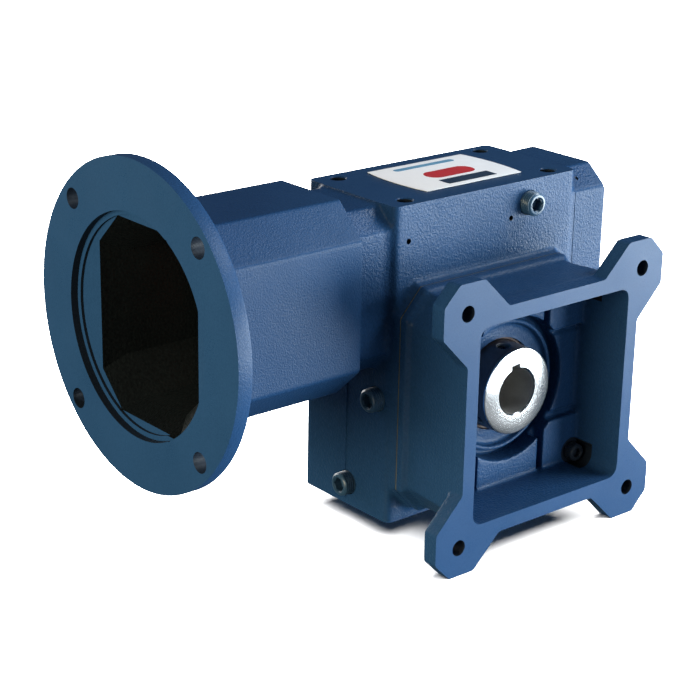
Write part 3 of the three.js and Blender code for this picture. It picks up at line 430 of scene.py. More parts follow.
def discard(made):
    mesh = made.data
    bpy.data.objects.remove(made)
    bpy.data.meshes.remove(mesh)


def combine(body, operation, tools):
    for tool in tools:
        modifier = body.modifiers.new("combine", "BOOLEAN")
        modifier.operation = operation
        modifier.solver = "MANIFOLD"
        modifier.material_mode = "TRANSFER"
        modifier.object = tool
        apply_modifiers(body)
        discard(tool)
        if not body.data.polygons:
            raise RuntimeError("a boolean left nothing: one of its meshes isn't closed")
    return body


def join(body, *tools):
    return combine(body, "UNION", tools)


def cut(body, *tools):
    return combine(body, "DIFFERENCE", tools)


def cast(body, voxel, rounding, keep, material):
    """Rounds every edge and inner corner of a solid, as sand casting does.

    The voxel is in millimetres, rounding counts the smoothing passes, and keep is the share of faces kept.
    """
    remesh = body.modifiers.new("remesh", "REMESH")
    remesh.mode = "VOXEL"
    remesh.voxel_size = voxel
    smooth = body.modifiers.new("smooth", "SMOOTH")
    smooth.factor = 0.5
    smooth.iterations = rounding
    thin = body.modifiers.new("thin", "DECIMATE")
    thin.ratio = keep
    apply_modifiers(body)
    body.data.materials.clear()
    body.data.materials.append(material)
    return body


def finished(made, name, body, replaces=(), sharp_degrees=32):
    """Scales a piece to metres, names it and hangs it on its body."""
    made.name = name
    made.data.name = name
    made.data.transform(Matrix.Scale(MM, 4))
    made.data.shade_smooth()
    made.data.set_sharp_from_angle(angle=math.radians(sharp_degrees))
    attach(made, body)
    if replaces:
        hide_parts(*replaces)
    return made


def merged(parts):
    """One object from several closed pieces, each with its materials."""
    first = parts[0]
    with bpy.context.temp_override(active_object=first, selected_editable_objects=parts):
        bpy.ops.object.join()
    return first


# ---------- housing ----------

ADAPTER_SCREWS = corners(22, 29)
COVER_SCREWS = corners(21, 29)
FLANGE_SCREWS = corners(49.5, 48)
REAR_SCREWS = [
    (REAR_SCREW_R * math.cos(a), REAR_SCREW_R * math.sin(a))
    for a in [(i + 0.5) * math.pi / 3 for i in range(6)]
]
PLUGS = [
    ("oil_level_plug", "y", (30.2, OUT_Z + 93), -BODY_Y),
    ("oil_side_plug", "x", (-24, OUT_Z - 0.8), -BODY_X),
    ("oil_drain_plug", "x", (-2, OUT_Z - 56.2), -BODY_X),
]


def right_neck_outline(grow=0.0):
    return octagon(NECK_Y + grow, NECK_Z + grow, NECK_CUT_Y, NECK_CUT_Z, ON_WORM)


def left_neck_outline(grow=0.0):
    return octagon(LEFT_NECK_Y + grow, NECK_Z + grow, LEFT_NECK_CUT_Y, NECK_CUT_Z, ON_WORM)


def pad_outline(inset=0.0):
    return octagon(PAD_X - inset, PAD_Z - inset, PAD_CUT_X, PAD_CUT_Z, ON_OUTPUT)


def housing_blank():
    body = prism("z", rounded_box(BODY_X, BODY_Y, BODY_CORNER), -STOCK, BODY_TOP + STOCK)
    left_neck = loft(
        "x",
        [
            (NECK_LEFT - STOCK, left_neck_outline()),
            (NECK_STEP_START, left_neck_outline()),
            (NECK_STEP_END, left_neck_outline(NECK_STEP)),
            (-BODY_X + 5.5, left_neck_outline(NECK_STEP)),
        ],
    )
    right_neck = loft(
        "x",
        [
            (0, right_neck_outline(-0.4)),
            (BODY_X + 0.5, right_neck_outline(-0.4)),
            (NECK_RIGHT + STOCK, right_neck_outline()),
        ],
    )
    pad = loft(
        "y",
        [
            (-BODY_Y - PAD_HEIGHT - STOCK, pad_outline(1.2)),
            (-BODY_Y - STOCK, pad_outline()),
            (0, pad_outline(-0.5)),
        ],
    )
    return join(body, left_neck, right_neck, pad)


def housing_hollow():
    # c is the near-black painted shade put on the inside walls of the hollow
    c = painted_shade_inner
    inside = (-CAVITY_Y, CAVITY_Y)
    upper_x = (-UPPER_CAVITY_X, UPPER_CAVITY_X)
    lower = box((-CAVITY_X, CAVITY_X), inside, (OUT_Z + CAVITY_LOW, OUT_Z + CAVITY_HIGH), c)
    upper = box(upper_x, inside, (OUT_Z + CAVITY_HIGH - 1, OUT_Z + UPPER_CAVITY_HIGH), c)
    worm_bore = rod("x", ON_WORM, WORM_BORE, NECK_LEFT - 9, NECK_RIGHT + 9, 48, c)
    front = rod("y", ON_OUTPUT, FRONT_OPENING, -BODY_Y - 9, 0, 64, c)
    rear = rod("y", ON_OUTPUT, REAR_OPENING, 0, BODY_Y + 9, 64, c)
    return [lower, upper, worm_bore, front, rear]


def housing_machining():
    m = machined_paint
    far = 120
    planes = [
        box((-far, far), (-far, far), (BODY_TOP, BODY_TOP + 40), m),
        box((-far, far), (-far, far), (-40, 0), m),
        box((-far, far), (-far, -BODY_Y - PAD_HEIGHT), (-30, 220), m),
        box((NECK_LEFT - 40, NECK_LEFT), (-far, far), (0, 220), m),
        box((NECK_RIGHT, NECK_RIGHT + 40), (-far, far), (0, 220), m),
    ]
    taps = [
        # the tapped holes get the dark painted shade
        rod("z", (x, y), TOP_TAP_R, low, high, 32, painted_shade_hole)
        for x, y in corners(TOP_TAP_X, TOP_TAP_Y)
        for low, high in ((BODY_TOP - TOP_TAP_DEPTH, BODY_TOP + 3), (-3, BASE_TAP_DEPTH))
    ]
    rim = [
        (0, BODY_TOP - 1),
        (TOP_TAP_R - 0.4, BODY_TOP - 1),
        (TOP_TAP_R + 1.6, BODY_TOP + 1),
        (0, BODY_TOP + 1),
    ]
    rims = [lathe("z", place, rim, 32, m) for place in corners(TOP_TAP_X, TOP_TAP_Y)]
    pin_places = [(x, NAME_PIN_Z) for x in NAME_PIN_X]
    pins = holes("y", pin_places, -BODY_Y - 3, -BODY_Y + 5, painted_shade_inner, NAME_PIN_R)
    plugs = [
        rod(axis, centre, PLUG_R + GAP, wall - 2, wall + PLUG_BURIED + 3, 32, painted_shade_inner)
        for _, axis, centre, wall in PLUGS
    ]
    screws = [
        *holes("x", ADAPTER_SCREWS, NECK_LEFT - 3, NECK_LEFT + 14, painted_shade_hole),
        *holes("x", COVER_SCREWS, NECK_RIGHT - 12, NECK_RIGHT + 3, painted_shade_inner),
        *holes("y", FLANGE_SCREWS, -BODY_Y - 9, -CAVITY_Y + 1, painted_shade_inner),
        *holes("y", REAR_SCREWS, 20, BODY_Y + 3, painted_shade_inner),
    ]
    return planes + taps + rims + pins + plugs + screws


def parting_line():
    """The low ridge where the mould's halves met, up the housing's left side."""
    foot, crest = -BODY_X + 1, -BODY_X - 0.35
    ridge = [(foot, -0.9), (foot, 0.9), (crest, 0.3), (crest, -0.3)]
    return prism("z", ridge, 3, WORM_Z - NECK_Z - 1, cast_paint)


def mould_marks():
    """The line between the body and the right boss, and a small pit beside it."""
    outer, chamfer_z = -36, WORM_Z + 33
    notch = [(SEAM_X - SEAM_HALF, outer), (SEAM_X + SEAM_HALF, outer), (SEAM_X, outer + 1.9)]
    line = prism("z", notch, 88, chamfer_z + 0.5, cast_paint)
    run = 16
    slant = loft(
        "y",
        [
            (outer, circle(1.0, (SEAM_X, chamfer_z), 8)),
            (outer + run, circle(1.0, (SEAM_X, chamfer_z + run * NECK_CUT_Z / NECK_CUT_Y), 8)),
        ],
        cast_paint,
    )
    # the pit gets the dark painted shade
    pit = rod("y", (73.5, WORM_Z + 38), 0.9, -33, -27.5, 12, painted_shade_hole)
    return [line, slant, pit]


def make_housing():
    body = cast(housing_blank(), 1.0, 7, 0.22, cast_paint)
    join(body, parting_line())
    cut(body, *housing_machining(), *mould_marks(), *housing_hollow())
    return finished(body, "housing_casting", "gearcase", ["housing"])


# ---------- motor adapter ----------


def bell_outline(grow=0.0):
    return octagon(BELL_Y + grow, BELL_Z + grow, BELL_CUT_Y, BELL_CUT_Z, ON_WORM)


def mouth_outline():
    """The opening in the motor face, which sits a little towards the front of the bell's axis."""
    return octagon(MOUTH_Y, MOUTH_Z, MOUTH_CUT, MOUTH_CUT, (MOUTH_SHIFT, WORM_Z))


def bell_hollow():
    inner = bell_outline(-BELL_WALL)
    sections = [
        (BELL_FACE - 4, mouth_outline()),
        (BELL_FACE + 6, mouth_outline()),
        (BELL_FACE + 18, inner),
        (BELL_END - 9, inner),
    ]
    # the bell's inside gets the near-black painted shade
    return loft("x", sections, painted_shade_inner)


def repaint(made, material, wanted):
    """Gives a material to the faces that a test picks out."""
    made.data.materials.append(material)
    index = len(made.data.materials) - 1
    for face in made.data.polygons:
        if wanted(face):
            face.material_index = index


def on_register_wall(face):
    """True for the turned wall that the motor's register fits into, whose shade is painted on in the dark
    hole paint.
    """
    place = face.center
    reach = math.hypot(place.y, place.z - WORM_Z)
    on_wall = RELIEF_R - 0.55 < reach < REGISTER_R + 0.85
    return place.x < BELL_FACE + REGISTER_DEPTH + 2 and abs(face.normal.x) < 0.5 and on_wall


def make_motor_adapter():
    far = 150
    rim_back = BELL_FACE + BELL_RIM
    tube = prism("x", bell_outline(), BELL_FACE, BELL_END + 2)
    flare = loft(
        "x",
        [
            (BELL_FACE, bell_outline(6)),
            (rim_back, bell_outline(4.5)),
            (rim_back + 2, bell_outline(1.8)),
            (rim_back + 6, bell_outline()),
        ],
    )
    body = cast(join(tube, flare), 0.9, 5, 0.3, bell_paint)
    edge = [
        (0, BELL_FACE - 2),
        (BELL_RIM_R, BELL_FACE - 2),
        (BELL_RIM_R, rim_back - 1.4),
        (BELL_RIM_R - 0.4, rim_back - 0.4),
        (BELL_RIM_R - 1.4, rim_back),
        (0, rim_back),
    ]
    join(body, lathe("x", ON_WORM, edge, 160, bell_paint))
    m = machined_paint
    at = BELL_BOLT_R * math.sqrt(0.5)
    cut(
        body,
        box((BELL_FACE - 40, BELL_FACE), (-far, far), (0, 260), m),
        box((BELL_END, BELL_END + 40), (-far, far), (0, 260), m),
        rod("x", ON_WORM, REGISTER_R, BELL_FACE - 3, BELL_FACE + REGISTER_DEPTH, 128, m),
        rod("x", ON_WORM, RELIEF_R, BELL_FACE, BELL_FACE + RELIEF_DEPTH, 128, bell_paint),
        bell_hollow(),
        *holes("x", corners(at, at), BELL_FACE - 3, rim_back + 9, painted_shade_hole, BELL_HOLE_R, 40),
        *holes("x", ADAPTER_SCREWS, BELL_END - 12, BELL_END + 3, painted_shade_inner),
        rod("x", ON_WORM, BELL_SHAFT_HOLE_R, BELL_END - 12, BELL_END + 3, 48, painted_shade_inner),
    )
    # paints shade onto the register wall
    repaint(body, painted_shade_hole, on_register_wall)
    return finished(body, "motor_adapter_casting", "gearcase", ["motor_adapter"])


# ---------- output flange ----------


def flange_outline():
    """The mounting face: a square frame with an ear with cut corners at each corner."""
    start, end = EAR - EAR_CUT - EAR_FLAT, EAR - EAR_CUT
    quarter = [
        (FLANGE_FRAME, EAR_ROOT), (EAR, start), (EAR, end),
        (end, EAR), (start, EAR), (EAR_ROOT, FLANGE_FRAME),
    ]
    outline = quarter + [(-x, z) for x, z in reversed(quarter)]
    outline += [(-x, -z) for x, z in quarter] + [(x, -z) for x, z in reversed(quarter)]
    return [(x, z + OUT_Z) for x, z in outline]


def floor_relief():
    """The raised pads and panels on the box's floor, with the grooves between them part filled."""
    low = FLOOR_GROOVE + 3
    across = (FLOOR_EDGE + 3 - GROOVE_X - GROOVE_HALF) / 2
    up = (FLOOR_EDGE + 3 - GROOVE_Z - GROOVE_HALF) / 2
    middle_x, middle_z = GROOVE_X + GROOVE_HALF + across, GROOVE_Z + GROOVE_HALF + up

    def raised(half_x, half_z, x, z, top):
        outline = rounded_box(half_x, half_z, FLOOR_CORNER, (x, OUT_Z + z))
        return prism("y", outline, top, low)

    inner_x, inner_z = GROOVE_X - GROOVE_HALF, GROOVE_Z - GROOVE_HALF
    pads = [raised(across, up, x, z, FLOOR_PAD) for x, z in corners(middle_x, middle_z)]
    pads += [raised(inner_x, up, 0, side * middle_z, FLOOR_PAD) for side in (1, -1)]
    pads += [raised(across, inner_z, side * middle_x, 0, FLOOR_PANEL) for side in (1, -1)]
    shallow = [
        raised(across, GROOVE_FILL_HALF, x, z, FLOOR_PANEL + SHALLOW_GROOVE)
        for x, z in corners(middle_x, GROOVE_Z)
    ]
    deep = [
        raised(GROOVE_FILL_HALF, up, x, z, FLOOR_PANEL + DEEP_GROOVE)
        for x, z in corners(GROOVE_X, middle_z)
    ]
    return pads + shallow + deep


def boss():
    profile = [
        (0, -BOSS_RIDGE + 3),
        (BOSS_INNER_R, -BOSS_FACE),
        (BOSS_INNER_R + 0.6, -BOSS_RIDGE - 0.8),
        (BOSS_R - 0.6, -BOSS_RIDGE - 0.8),
        (BOSS_R, -BOSS_RIDGE + 0.6),
        (BOSS_R, FLOOR_GROOVE + 3),
        (0, FLOOR_GROOVE + 3),
    ]
    return lathe("y", ON_OUTPUT, profile, 96)


def carrier_bores(side, material):
    """The stepped bore for a bearing and a seal, at the front (-1) or the rear (1)."""
    stages = [
        (BEARING_BORE, CARRIER_END - 3, CARRIER_SHOULDER, 64),
        (SEAL_BORE, CARRIER_SHOULDER - 1, BOSS_FACE - LIP, 64),
        (LIP_R, 40, BOSS_RIDGE + 9, 96),
    ]
    return [
        rod("y", ON_OUTPUT, radius, side * start, side * end, segments, material)
        for radius, start, end, segments in stages
    ]


BOX_WAIST = [(-46.8, 62.2, 60.2), (-52, 62.0, 59.9), (-70, 62.3, 60.9)]  # (y, half width, half height)


def flange_blank():
    plate_back = FLANGE_FACE + FLANGE_PLATE
    box_sections = [(FLANGE_BACK + 3, pad_outline(0.4)), (-44.2, pad_outline(0.5))]
    for y, half_x, half_z in [*BOX_WAIST, (plate_back - 1, 62.5, 62.3)]:
        box_sections.append((y, octagon(half_x, half_z, PAD_CUT_X, PAD_CUT_Z, ON_OUTPUT)))
    shell = loft("y", box_sections)
    join(shell, prism("y", flange_outline(), plate_back, FLANGE_FACE - STOCK))
    inner = WINDOW - WINDOW_DRAFT
    window = loft(
        "y",
        [
            (FLANGE_FACE - 3, rounded_box(WINDOW, WINDOW, WINDOW_CORNER, ON_OUTPUT)),
            (FLOOR_GROOVE, rounded_box(inner, inner, WINDOW_CORNER, ON_OUTPUT)),
        ],
    )
    cut(shell, window)
    relief = floor_relief()
    ground = relief[0]
    join(ground, *relief[1:])
    cut(ground, rod("y", ON_OUTPUT, PAD_ARC_R, FLOOR_PAD - 3, FLOOR_GROOVE, 96))
    join(shell, ground, boss())
    return shell


def make_output_flange():
    body = cast(flange_blank(), 0.8, 8, 0.24, cast_paint)
    m = machined_paint
    far = 150
    cut(
        body,
        box((-far, far), (FLANGE_FACE - 40, FLANGE_FACE), (-60, 240), m),
        box((-far, far), (FLANGE_BACK, 40), (-60, 240), m),
    )
    join(body, rod("y", ON_OUTPUT, CARRIER_R, FLANGE_BACK - 1, -CARRIER_END, 96, m))
    bolts = corners(FLANGE_BOLT, FLANGE_BOLT)
    cut(
        body,
        *holes("y", FLANGE_SCREWS, FLOOR_PAD - 12, FLOOR_PAD + 1, painted_shade_hole, SPOT_FACE_R, 40),
        *holes("y", FLANGE_SCREWS, FLOOR_PAD - 3, FLANGE_BACK + 3, m),
        *holes("y", bolts, FLANGE_FACE - 3, FLANGE_FACE + 14, painted_shade_hole, FLANGE_BOLT_R, 40),
        *carrier_bores(-1, m),
    )
    return finished(body, "output_flange_casting", "gearcase", ["output_flange"])


# ---------- covers ----------


def make_rear_cover():
    profile = [
        (0, REAR_START - 2),
        (REAR_R, REAR_START - 2),
        (REAR_R, REAR_END),
        (BOSS_R + 2, REAR_END),
        (BOSS_R, BOSS_FACE + 1),
        (0, BOSS_FACE + 1),
    ]
    body = cast(lathe("y", ON_OUTPUT, profile, 96), 0.8, 4, 0.25, cast_paint)
    m = machined_paint
    cut(
        body,
        box((-80, 80), (REAR_START - 20, REAR_START), (-20, 160), m),
        box((-80, 80), (BOSS_FACE, BOSS_FACE + 20), (-20, 160), m),
    )
    join(body, rod("y", ON_OUTPUT, REAR_SPIGOT_R - 0.3, CARRIER_END, REAR_START + 1, 96, m))
    cut(
        body,
        *holes("y", REAR_SCREWS, REAR_END - 0.4, REAR_END + 6, m, REAR_SPOT_FACE_R, 32),
        *holes("y", REAR_SCREWS, REAR_START - 3, REAR_END + 3, m),
        *carrier_bores(1, m),
    )
    return finished(body, "rear_cover_casting", "gearcase", ["rear_cover"])


def make_end_cover():
    outline = octagon(COVER_Y, COVER_Z, COVER_CUT_Y, COVER_CUT_Z, ON_WORM)
    end = COVER_START + COVER_THICK
    body = cast(prism("x", outline, COVER_START - 2, end + 0.3), 0.7, 4, 0.25, cast_paint)
    m = machined_paint
    cut(
        body,
        box((COVER_START - 20, COVER_START), (-60, 60), (60, 200), m),
        box((end - 0.02, end + 20), (-60, 60), (60, 200), cast_paint),
    )
    spigot = [
        (SPIGOT_INNER_R, SPIGOT_START),
        (SPIGOT_R, SPIGOT_START),
        (SPIGOT_R, COVER_START + 1),
        (SPIGOT_INNER_R, COVER_START + 1),
    ]
    join(body, lathe("x", ON_WORM, spigot, 64, m))
    seat = [
        (0, end - FLAT_CONE - 2 * GAP),
        (SCREW_SHANK_R + GAP, end - FLAT_CONE - 2 * GAP),
        (FLAT_HEAD_R + GAP, end - FLAT_RIM - GAP),
        (FLAT_HEAD_R + GAP, end + 1),
        (0, end + 1),
    ]
    for y, z in COVER_SCREWS:
        centre = (y, WORM_Z + z)
        shank_hole = rod("x", centre, SCREW_HOLE_R, COVER_START - 3, end - 1, 20, m)
        cut(body, shank_hole, lathe("x", centre, seat, 32, m))
    return finished(body, "end_cover_casting", "gearcase", ["end_cover"])


# ---------- fasteners ----------


def knurled(axis, centre, start, end, radius, material):
    outline = []
    for i in range(KNURL_TEETH * 2):
        angle = i * math.pi / KNURL_TEETH
        r = radius - (KNURL_DEPTH if i % 2 else 0.0)
        outline.append((centre[0] + r * math.cos(angle), centre[1] + r * math.sin(angle)))
    return prism(axis, outline, start, end, material)


def cap_screw(name, axis, centre, seat, sign, length):
    """A socket head screw. Its head rises from the seat towards sign along the axis."""
    m = screw_oxide
    top = seat + sign * SCREW_HEAD
    head = knurled(axis, centre, seat + sign * 0.5, top - sign * 1.1, SCREW_HEAD_R - 0.02, m)
    crown = [
        (0, seat),
        (SCREW_CROWN_R - 0.36, seat),
        (SCREW_CROWN_R, seat + sign * 0.4),
        (SCREW_CROWN_R, top - sign * 0.8),
        (SCREW_CROWN_R - 0.51, top - sign * 0.15),
        (SCREW_CROWN_R - 0.71, top),
        (0, top),
    ]
    shank = rod(axis, centre, SCREW_SHANK_R, seat - sign * length, seat + sign, 20, m)
    join(head, lathe(axis, centre, crown, 36, m), shank)
    mouth = [
        (0, top - sign * 0.45),
        (SCREW_HEX, top - sign * 0.45),
        (SCREW_HEX + 0.6, top + sign * 0.3),
        (0, top + sign * 0.3),
    ]
    hexagon = rod(axis, centre, SCREW_HEX, top - sign * SCREW_SOCKET, top + sign, 6, m)
    cut(head, hexagon, lathe(axis, centre, mouth, 36, m))
    return finished(head, name + "_detail", "gearcase", [name])


def flat_screw(name, axis, centre, top, length):
    """A countersunk screw with a hexagon socket, whose top faces along +axis."""
    m = screw_oxide
    r, top = FLAT_HEAD_R - 0.02, top - 0.03
    profile = [
        (0, top - length),
        (SCREW_SHANK_R, top - length),
        (SCREW_SHANK_R, top - FLAT_CONE),
        (r - 0.1, top - FLAT_RIM - 0.1),
        (r, top - FLAT_RIM),
        (r, top - 0.15),
        (r - 0.15, top),
        (0, top),
    ]
    body = lathe(axis, centre, profile, 40, m)
    cut(body, rod(axis, centre, FLAT_HEX, top - FLAT_SOCKET, top + 1, 6, m))
    return finished(body, name + "_detail", "gearcase", [name])


def threaded(axis, centre, start, end, radius, pitch, depth, material):
    """A rod with a helical thread."""
    segments, rows_per_turn = 40, 6
    length = abs(end - start)
    rows = int(length / pitch * rows_per_turn)
    sections = []
    for row in range(rows + 1):
        along = length * row / rows
        outline = []
        for i in range(segments):
            phase = (along / pitch - i / segments) % 1.0
            r = radius - depth * abs(2 * phase - 1)
            angle = 2 * math.pi * i / segments
            outline.append((centre[0] + r * math.cos(angle), centre[1] + r * math.sin(angle)))
        sections.append((start + (end - start) * row / rows, outline))
    return loft(axis, sections, material)


def pipe_plug(name, axis, centre, wall):
    m = plug_paint
    outer, inner = wall - PLUG_PROUD, wall + PLUG_BURIED
    body = threaded(axis, centre, inner, outer + 1.0, PLUG_R, PLUG_PITCH, PLUG_THREAD, m)
    head = [
        (0, outer + 1.4),
        (PLUG_R - 0.35, outer + 1.4),
        (PLUG_R - 0.35, outer + 0.9),
        (PLUG_R - 1.1, outer + 0.1),
        (PLUG_R - 1.4, outer),
        (0, outer),
    ]
    join(body, lathe(axis, centre, head, 40, m))
    mouth = [
        (0, outer + 0.8),
        (PLUG_HEX, outer + 0.8),
        (PLUG_HEX + 0.9, outer - 0.3),
        (0, outer - 0.3),
    ]
    hexagon = rod(axis, centre, PLUG_HEX + 0.35, outer - 1, outer + PLUG_SOCKET, 6, m)
    cut(body, hexagon, lathe(axis, centre, mouth, 40, m))
    return finished(body, name + "_detail", "gearcase", [name])


def make_fasteners():
    for i, (y, z) in enumerate(ADAPTER_SCREWS):
        cap_screw(f"adapter_screw_{i + 1}", "x", (y, WORM_Z + z), BELL_END - 9 - GAP, -1, 20)
    for i, (y, z) in enumerate(COVER_SCREWS):
        flat_screw(f"end_cover_screw_{i + 1}", "x", (y, WORM_Z + z), COVER_START + COVER_THICK, 14)
    for i, (x, z) in enumerate(FLANGE_SCREWS):
        cap_screw(f"flange_screw_{i + 1}", "y", (x, OUT_Z + z), FLOOR_PAD + 1 - GAP, -1, 28)
    for i, (x, z) in enumerate(REAR_SCREWS):
        cap_screw(f"rear_cover_screw_{i + 1}", "y", (x, OUT_Z + z), REAR_END + GAP, 1, 20)
    for plug in PLUGS:
        pipe_plug(*plug)


# ---------- output shaft and its seals ----------


def radial(made, degrees, y):
    """Turns a rod built along +Z at the origin to an angle round the output axis."""
    turn = Matrix.Rotation(math.radians(-degrees), 4, "Y")
    made.data.transform(Matrix.Translation((0, y, OUT_Z)) @ turn)
    return made


def make_output_shaft():
    half = SHAFT_HALF
    outside = [
        (BORE_R + 0.8, -half), (SHAFT_R - 1.0, -half), (SHAFT_R - 0.3, -half + 0.3),
        (SHAFT_R, -half + 1.0), (SHAFT_R, -SEAT_HALF), (SEAT_R, -SEAT_HALF),
        (SEAT_R, SEAT_HALF), (SHAFT_R, SEAT_HALF), (SHAFT_R, half - 1.0),
        (SHAFT_R - 0.3, half - 0.3), (SHAFT_R - 1.0, half), (BORE_R + 0.8, half),
    ]
    bore = [(BORE_R, half - 0.8), (BORE_R, -half + 0.8)]
    body = lathe("y", ON_OUTPUT, outside + bore, 128, shaft_face)
    mesh = body.data
    mesh.materials.append(black_oxide)
    mesh.materials.append(bore_steel)
    for face in mesh.polygons:
        place = face.center
        reach = math.hypot(place.x, place.z - OUT_Z)
        on_end = abs(place.y) > half - 0.85 and abs(face.normal.y) > 0.3
        face.material_index = 0 if on_end else 1 if reach > 20 else 2
    slot = box((-KEYWAY_WIDTH / 2, KEYWAY_WIDTH / 2), (-half - 1, half + 1), (0, KEYWAY_TOP), bore_steel)
    radial(slot, KEY_ANGLE, 0)
    gear_key_seat = box(
        (-GEAR_KEY_X, GEAR_KEY_X),
        (-GEAR_KEY_Y, GEAR_KEY_Y),
        (OUT_Z + GEAR_KEY_LOW, OUT_Z + GEAR_KEY_HIGH),
        bore_steel,
    )
    countersink = [
        (0, SHAFT_R - 1.0),
        (SET_SCREW_R + 0.1, SHAFT_R - 1.0),
        (SET_SCREW_R + 1.5, SHAFT_R + 0.4),
        (0, SHAFT_R + 0.4),
    ]
    taps = []
    for degrees in SET_SCREW_ANGLES:
        tap = rod("z", (0, 0), SET_SCREW_R + GAP, BORE_R - 1, SHAFT_R + 1, 32, bore_steel)
        rim = lathe("z", (0, 0), countersink, 32, bore_steel)
        taps.append(radial(tap, degrees, SET_SCREW_Y))
        taps.append(radial(rim, degrees, SET_SCREW_Y))
    cut(body, slot, gear_key_seat, *taps)
    return finished(body, "output_shaft_turned", "output", ["output_shaft"], 25)


def make_set_screws():
    low, high = SET_SCREW_LOW, SET_SCREW_HIGH
    for i, degrees in enumerate(SET_SCREW_ANGLES):
        node = f"shaft_set_screw_{i + 1}"
        grub = threaded("z", (0, 0), low, high, SET_SCREW_R, 1.0, 0.35, screw_oxide)
        cut(grub, rod("z", (0, 0), SET_SCREW_HEX, high - 2.5, high + 1, 6, screw_oxide))
        radial(grub, degrees, SET_SCREW_Y)
        finished(grub, node + "_detail", "output", [node])


SEAL_SECTION = [  # (radius, distance from the middle of the shaft)
    (32.3, 38), (32.3, 45.4), (31.7, 46), (27.5, 46), (27.0, 45.2), (26.2, 45.2),
    (25.6, 46.0), (24.7, 45.9), (24.5, 45.4), (25.4, 44.2), (25.6, 41.6), (24.5, 40.6),
    (24.6, 39.6), (26.4, 38.6), (28.4, 38.9), (28.6, 43.4), (30.4, 43.4), (30.4, 38),
]


def make_seals():
    """Lip seals: a rubber-covered case, a membrane and a dust lip against the shaft."""
    for name, side in (("front", -1), ("rear", 1)):
        section = [(r, side * y) for r, y in SEAL_SECTION]
        body = lathe("y", ON_OUTPUT, section, 96, rubber)
        finished(body, f"output_seal_{name}_lip", "gearcase", [f"output_seal_{name}"])


# ---------- label ----------


def label_outline(inset=0.0):
    """The film's outline: its two short sides bow outward."""
    half_x, half_y = LABEL_HALF_X - inset, LABEL_HALF_Y - inset
    right = []
    for i in range(LABEL_STEPS + 1):
        t = i / LABEL_STEPS
        right.append((half_x - LABEL_BOW + 4 * LABEL_BOW * t * (1 - t), half_y * (2 * t - 1)))
    return [(LABEL_X + a, LABEL_Y + b) for a, b in right + [(-a, -b) for a, b in right]]


def make_label():
    low = BODY_TOP + GAP
    high = low + LABEL_THICK
    sections = [(low, label_outline()), (high - 0.08, label_outline()), (high - 0.05, label_outline(0.1))]
    film = loft("z", sections, label_white)
    on = high - 0.04

    def print_at(dx, dy, half_x, half_y, radius, material):  # offset from the middle, half sizes, corner
        outline = rounded_box(half_x, half_y, radius, (LABEL_X + dx, LABEL_Y + dy), 10)
        return prism("z", outline, on, high, material)

    ink = [
        print_at(0.5, 17.2, 21.5, 2.1, 2.0, label_blue),
        print_at(2.2, -1.2, 16.5, 6.4, 6.2, label_red),
        print_at(2.8, -15.4, 17.5, 4.4, 0.6, label_dark),
    ]
    label = merged([film, *ink])
    return finished(label, "plate_label_print", "gearcase", ["plate_label"])


# ---------- CAD pieces that stay, with better finishes ----------

FINISHES = {
    "worm_shaft": worm_steel,
    "coupling_key": ground_steel,
    "coupling_hub": bare_iron,
    "coupling_spider": polyurethane,
    "worm_locknut": black_oxide,
    "worm_seal": rubber,
    "gear_hub": bare_iron,
    "gear_rim": bronze,
    "gear_key": ground_steel,
    "gear_spacer_front": ground_steel,
    "gear_spacer_rear": ground_steel,
}


def dress_cad_nodes():
    for name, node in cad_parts.items():
        finish = FINISHES.get(name)
        if "bearing" in name:
            finish = bearing_steel
        if "gasket" in name:
            finish = gasket_paper
        if finish:
            node.data.materials.clear()
            node.data.materials.append(finish)


# ---------- studio ----------

CAMERA_AT = (-0.6802, -0.7270, 0.4326)
CAMERA_AZIMUTH, CAMERA_ELEVATION, CAMERA_ROLL = -40.293, 19.856, 1.111
CAMERA_LENS = 97.87
FLOOR_HALF, FLOOR_Z = 6.0, -0.0106  # just under the flange's lower ears
LIT_MIDDLE = (-0.04, 0.0, 0.08)  # the point that the softboxes face


def make_camera():
    data = bpy.data.cameras.new("camera")
    data.sensor_width = 36
    data.lens = CAMERA_LENS
    data.clip_start, data.clip_end = 0.05, 30
    camera = bpy.data.objects.new("camera", data)
    scene.collection.objects.link(camera)
    azimuth, elevation, roll = (math.radians(v) for v in (CAMERA_AZIMUTH, CAMERA_ELEVATION, CAMERA_ROLL))
    level = math.cos(elevation)
    back = Vector((math.sin(azimuth) * level, -math.cos(azimuth) * level, math.sin(elevation)))
    right = Vector((math.cos(azimuth), math.sin(azimuth), 0))
    up = back.cross(right)
    tilted_right = math.cos(roll) * right + math.sin(roll) * up
    tilted_up = -math.sin(roll) * right + math.cos(roll) * up
    turn = Matrix((tilted_right, tilted_up, back)).transposed().to_4x4()
    camera.matrix_world = Matrix.Translation(CAMERA_AT) @ turn
    scene.camera = camera


def softbox(name, place, aim, size, watts, colour=(1, 1, 1)):
    data = bpy.data.lights.new(name, "AREA")
    data.shape = "RECTANGLE"
    data.size, data.size_y = size
    data.energy = watts
    data.color = colour
    light = bpy.data.objects.new(name, data)
    scene.collection.objects.link(light)
    light.location = place
    light.rotation_mode = "QUATERNION"
    light.rotation_quaternion = (Vector(aim) - Vector(place)).to_track_quat("-Z", "Y")
    return light


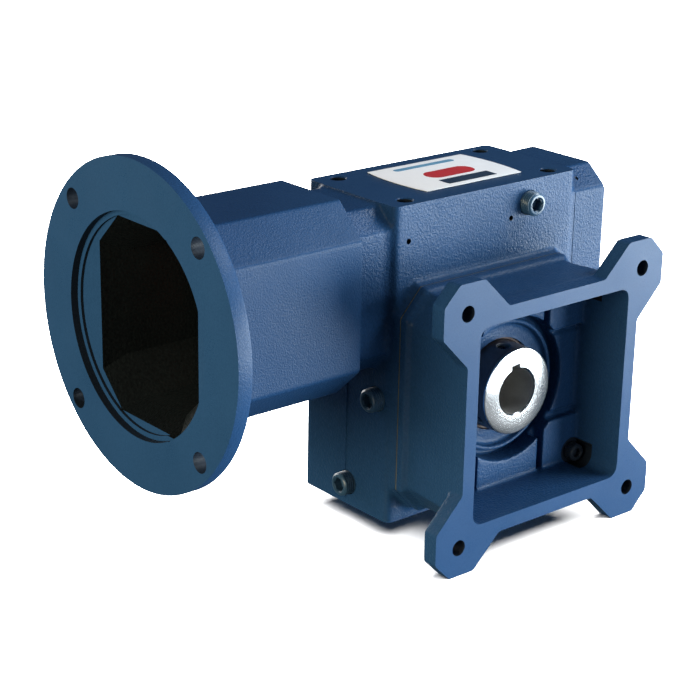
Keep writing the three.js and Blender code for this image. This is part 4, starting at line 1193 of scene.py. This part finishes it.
def make_floor():
    half, z = FLOOR_HALF, FLOOR_Z
    points = [(-half, -half, z), (half, -half, z), (half, half, z), (-half, half, z)]
    floor = mesh_object("floor", points, [[0, 1, 2, 3]])
    material, tree, surface = shader("floor_paper", 0.9)
    where = object_coordinates(tree)
    tone = to_range(tree, noise(tree, where, 400, 2.0), 0, 1)
    tree.links.new(tinted(tree, tone, (0.90, 0.90, 0.90), (0.92, 0.92, 0.92)), surface.inputs["Base Color"])
    surface.inputs["Specular IOR Level"].default_value = 0.0
    floor.data.materials.append(material)
    floor.visible_diffuse = False
    floor.visible_glossy = False
    floor.visible_shadow = False
    return floor


def link_light(light, floor, state):
    group = bpy.data.collections.new(light.name + "_receivers")
    group.objects.link(floor)
    light.light_linking.receiver_collection = group
    group.collection_objects[0].light_linking.link_state = state


def make_studio():
    middle = LIT_MIDDLE
    floor = make_floor()
    top_fill = softbox("top_fill", (0.0, 0.3, 1.6), middle, (1.2, 1.2), 4, (0.95, 0.85, 1.0))
    top_fill.visible_glossy = False
    lights = [
        top_fill,
        softbox("key", (1.18, -1.03, -0.03), middle, (1.49, 0.77), 82, (0.88, 0.98, 1.0)),
        softbox("high_card", (1.0, -0.6, 1.13), middle, (0.6, 0.5), 20, (0.88, 0.96, 1.0)),
        softbox("front_fill", (0.1, -1.6, 0.05), middle, (0.5, 0.5), 6, (0.8, 0.92, 1.0)),
        softbox("rear_fill", (-0.2, 1.6, 0.35), middle, (0.9, 0.9), 22, (0.95, 0.92, 0.88)),
        softbox("low_card", (0.95, -1.20, -0.25), middle, (1.6, 1.2), 3),
        softbox("left_fill", (-1.6, -0.15, 0.35), middle, (0.9, 0.9), 42, (0.95, 0.86, 0.60)),
    ]
    for light in lights:
        link_light(light, floor, "EXCLUDE")
    over = softbox("floor_light", (0, 0, 4.0), (0, 0, 0), (9, 9), 4000)
    link_light(over, floor, "INCLUDE")
    world = bpy.data.worlds.new("studio")
    scene.world = world
    world.use_nodes = True
    ground = world.node_tree.nodes["Background"]
    ground.inputs["Color"].default_value = (0.60, 0.82, 1.0, 1)
    ground.inputs["Strength"].default_value = 0.07
    scene.view_settings.view_transform = "Standard"
    scene.view_settings.look = "None"


make_housing()
make_motor_adapter()
make_output_flange()
make_rear_cover()
make_end_cover()
make_fasteners()
make_output_shaft()
make_set_screws()
make_seals()
make_label()
dress_cad_nodes()
make_camera()
make_studio()
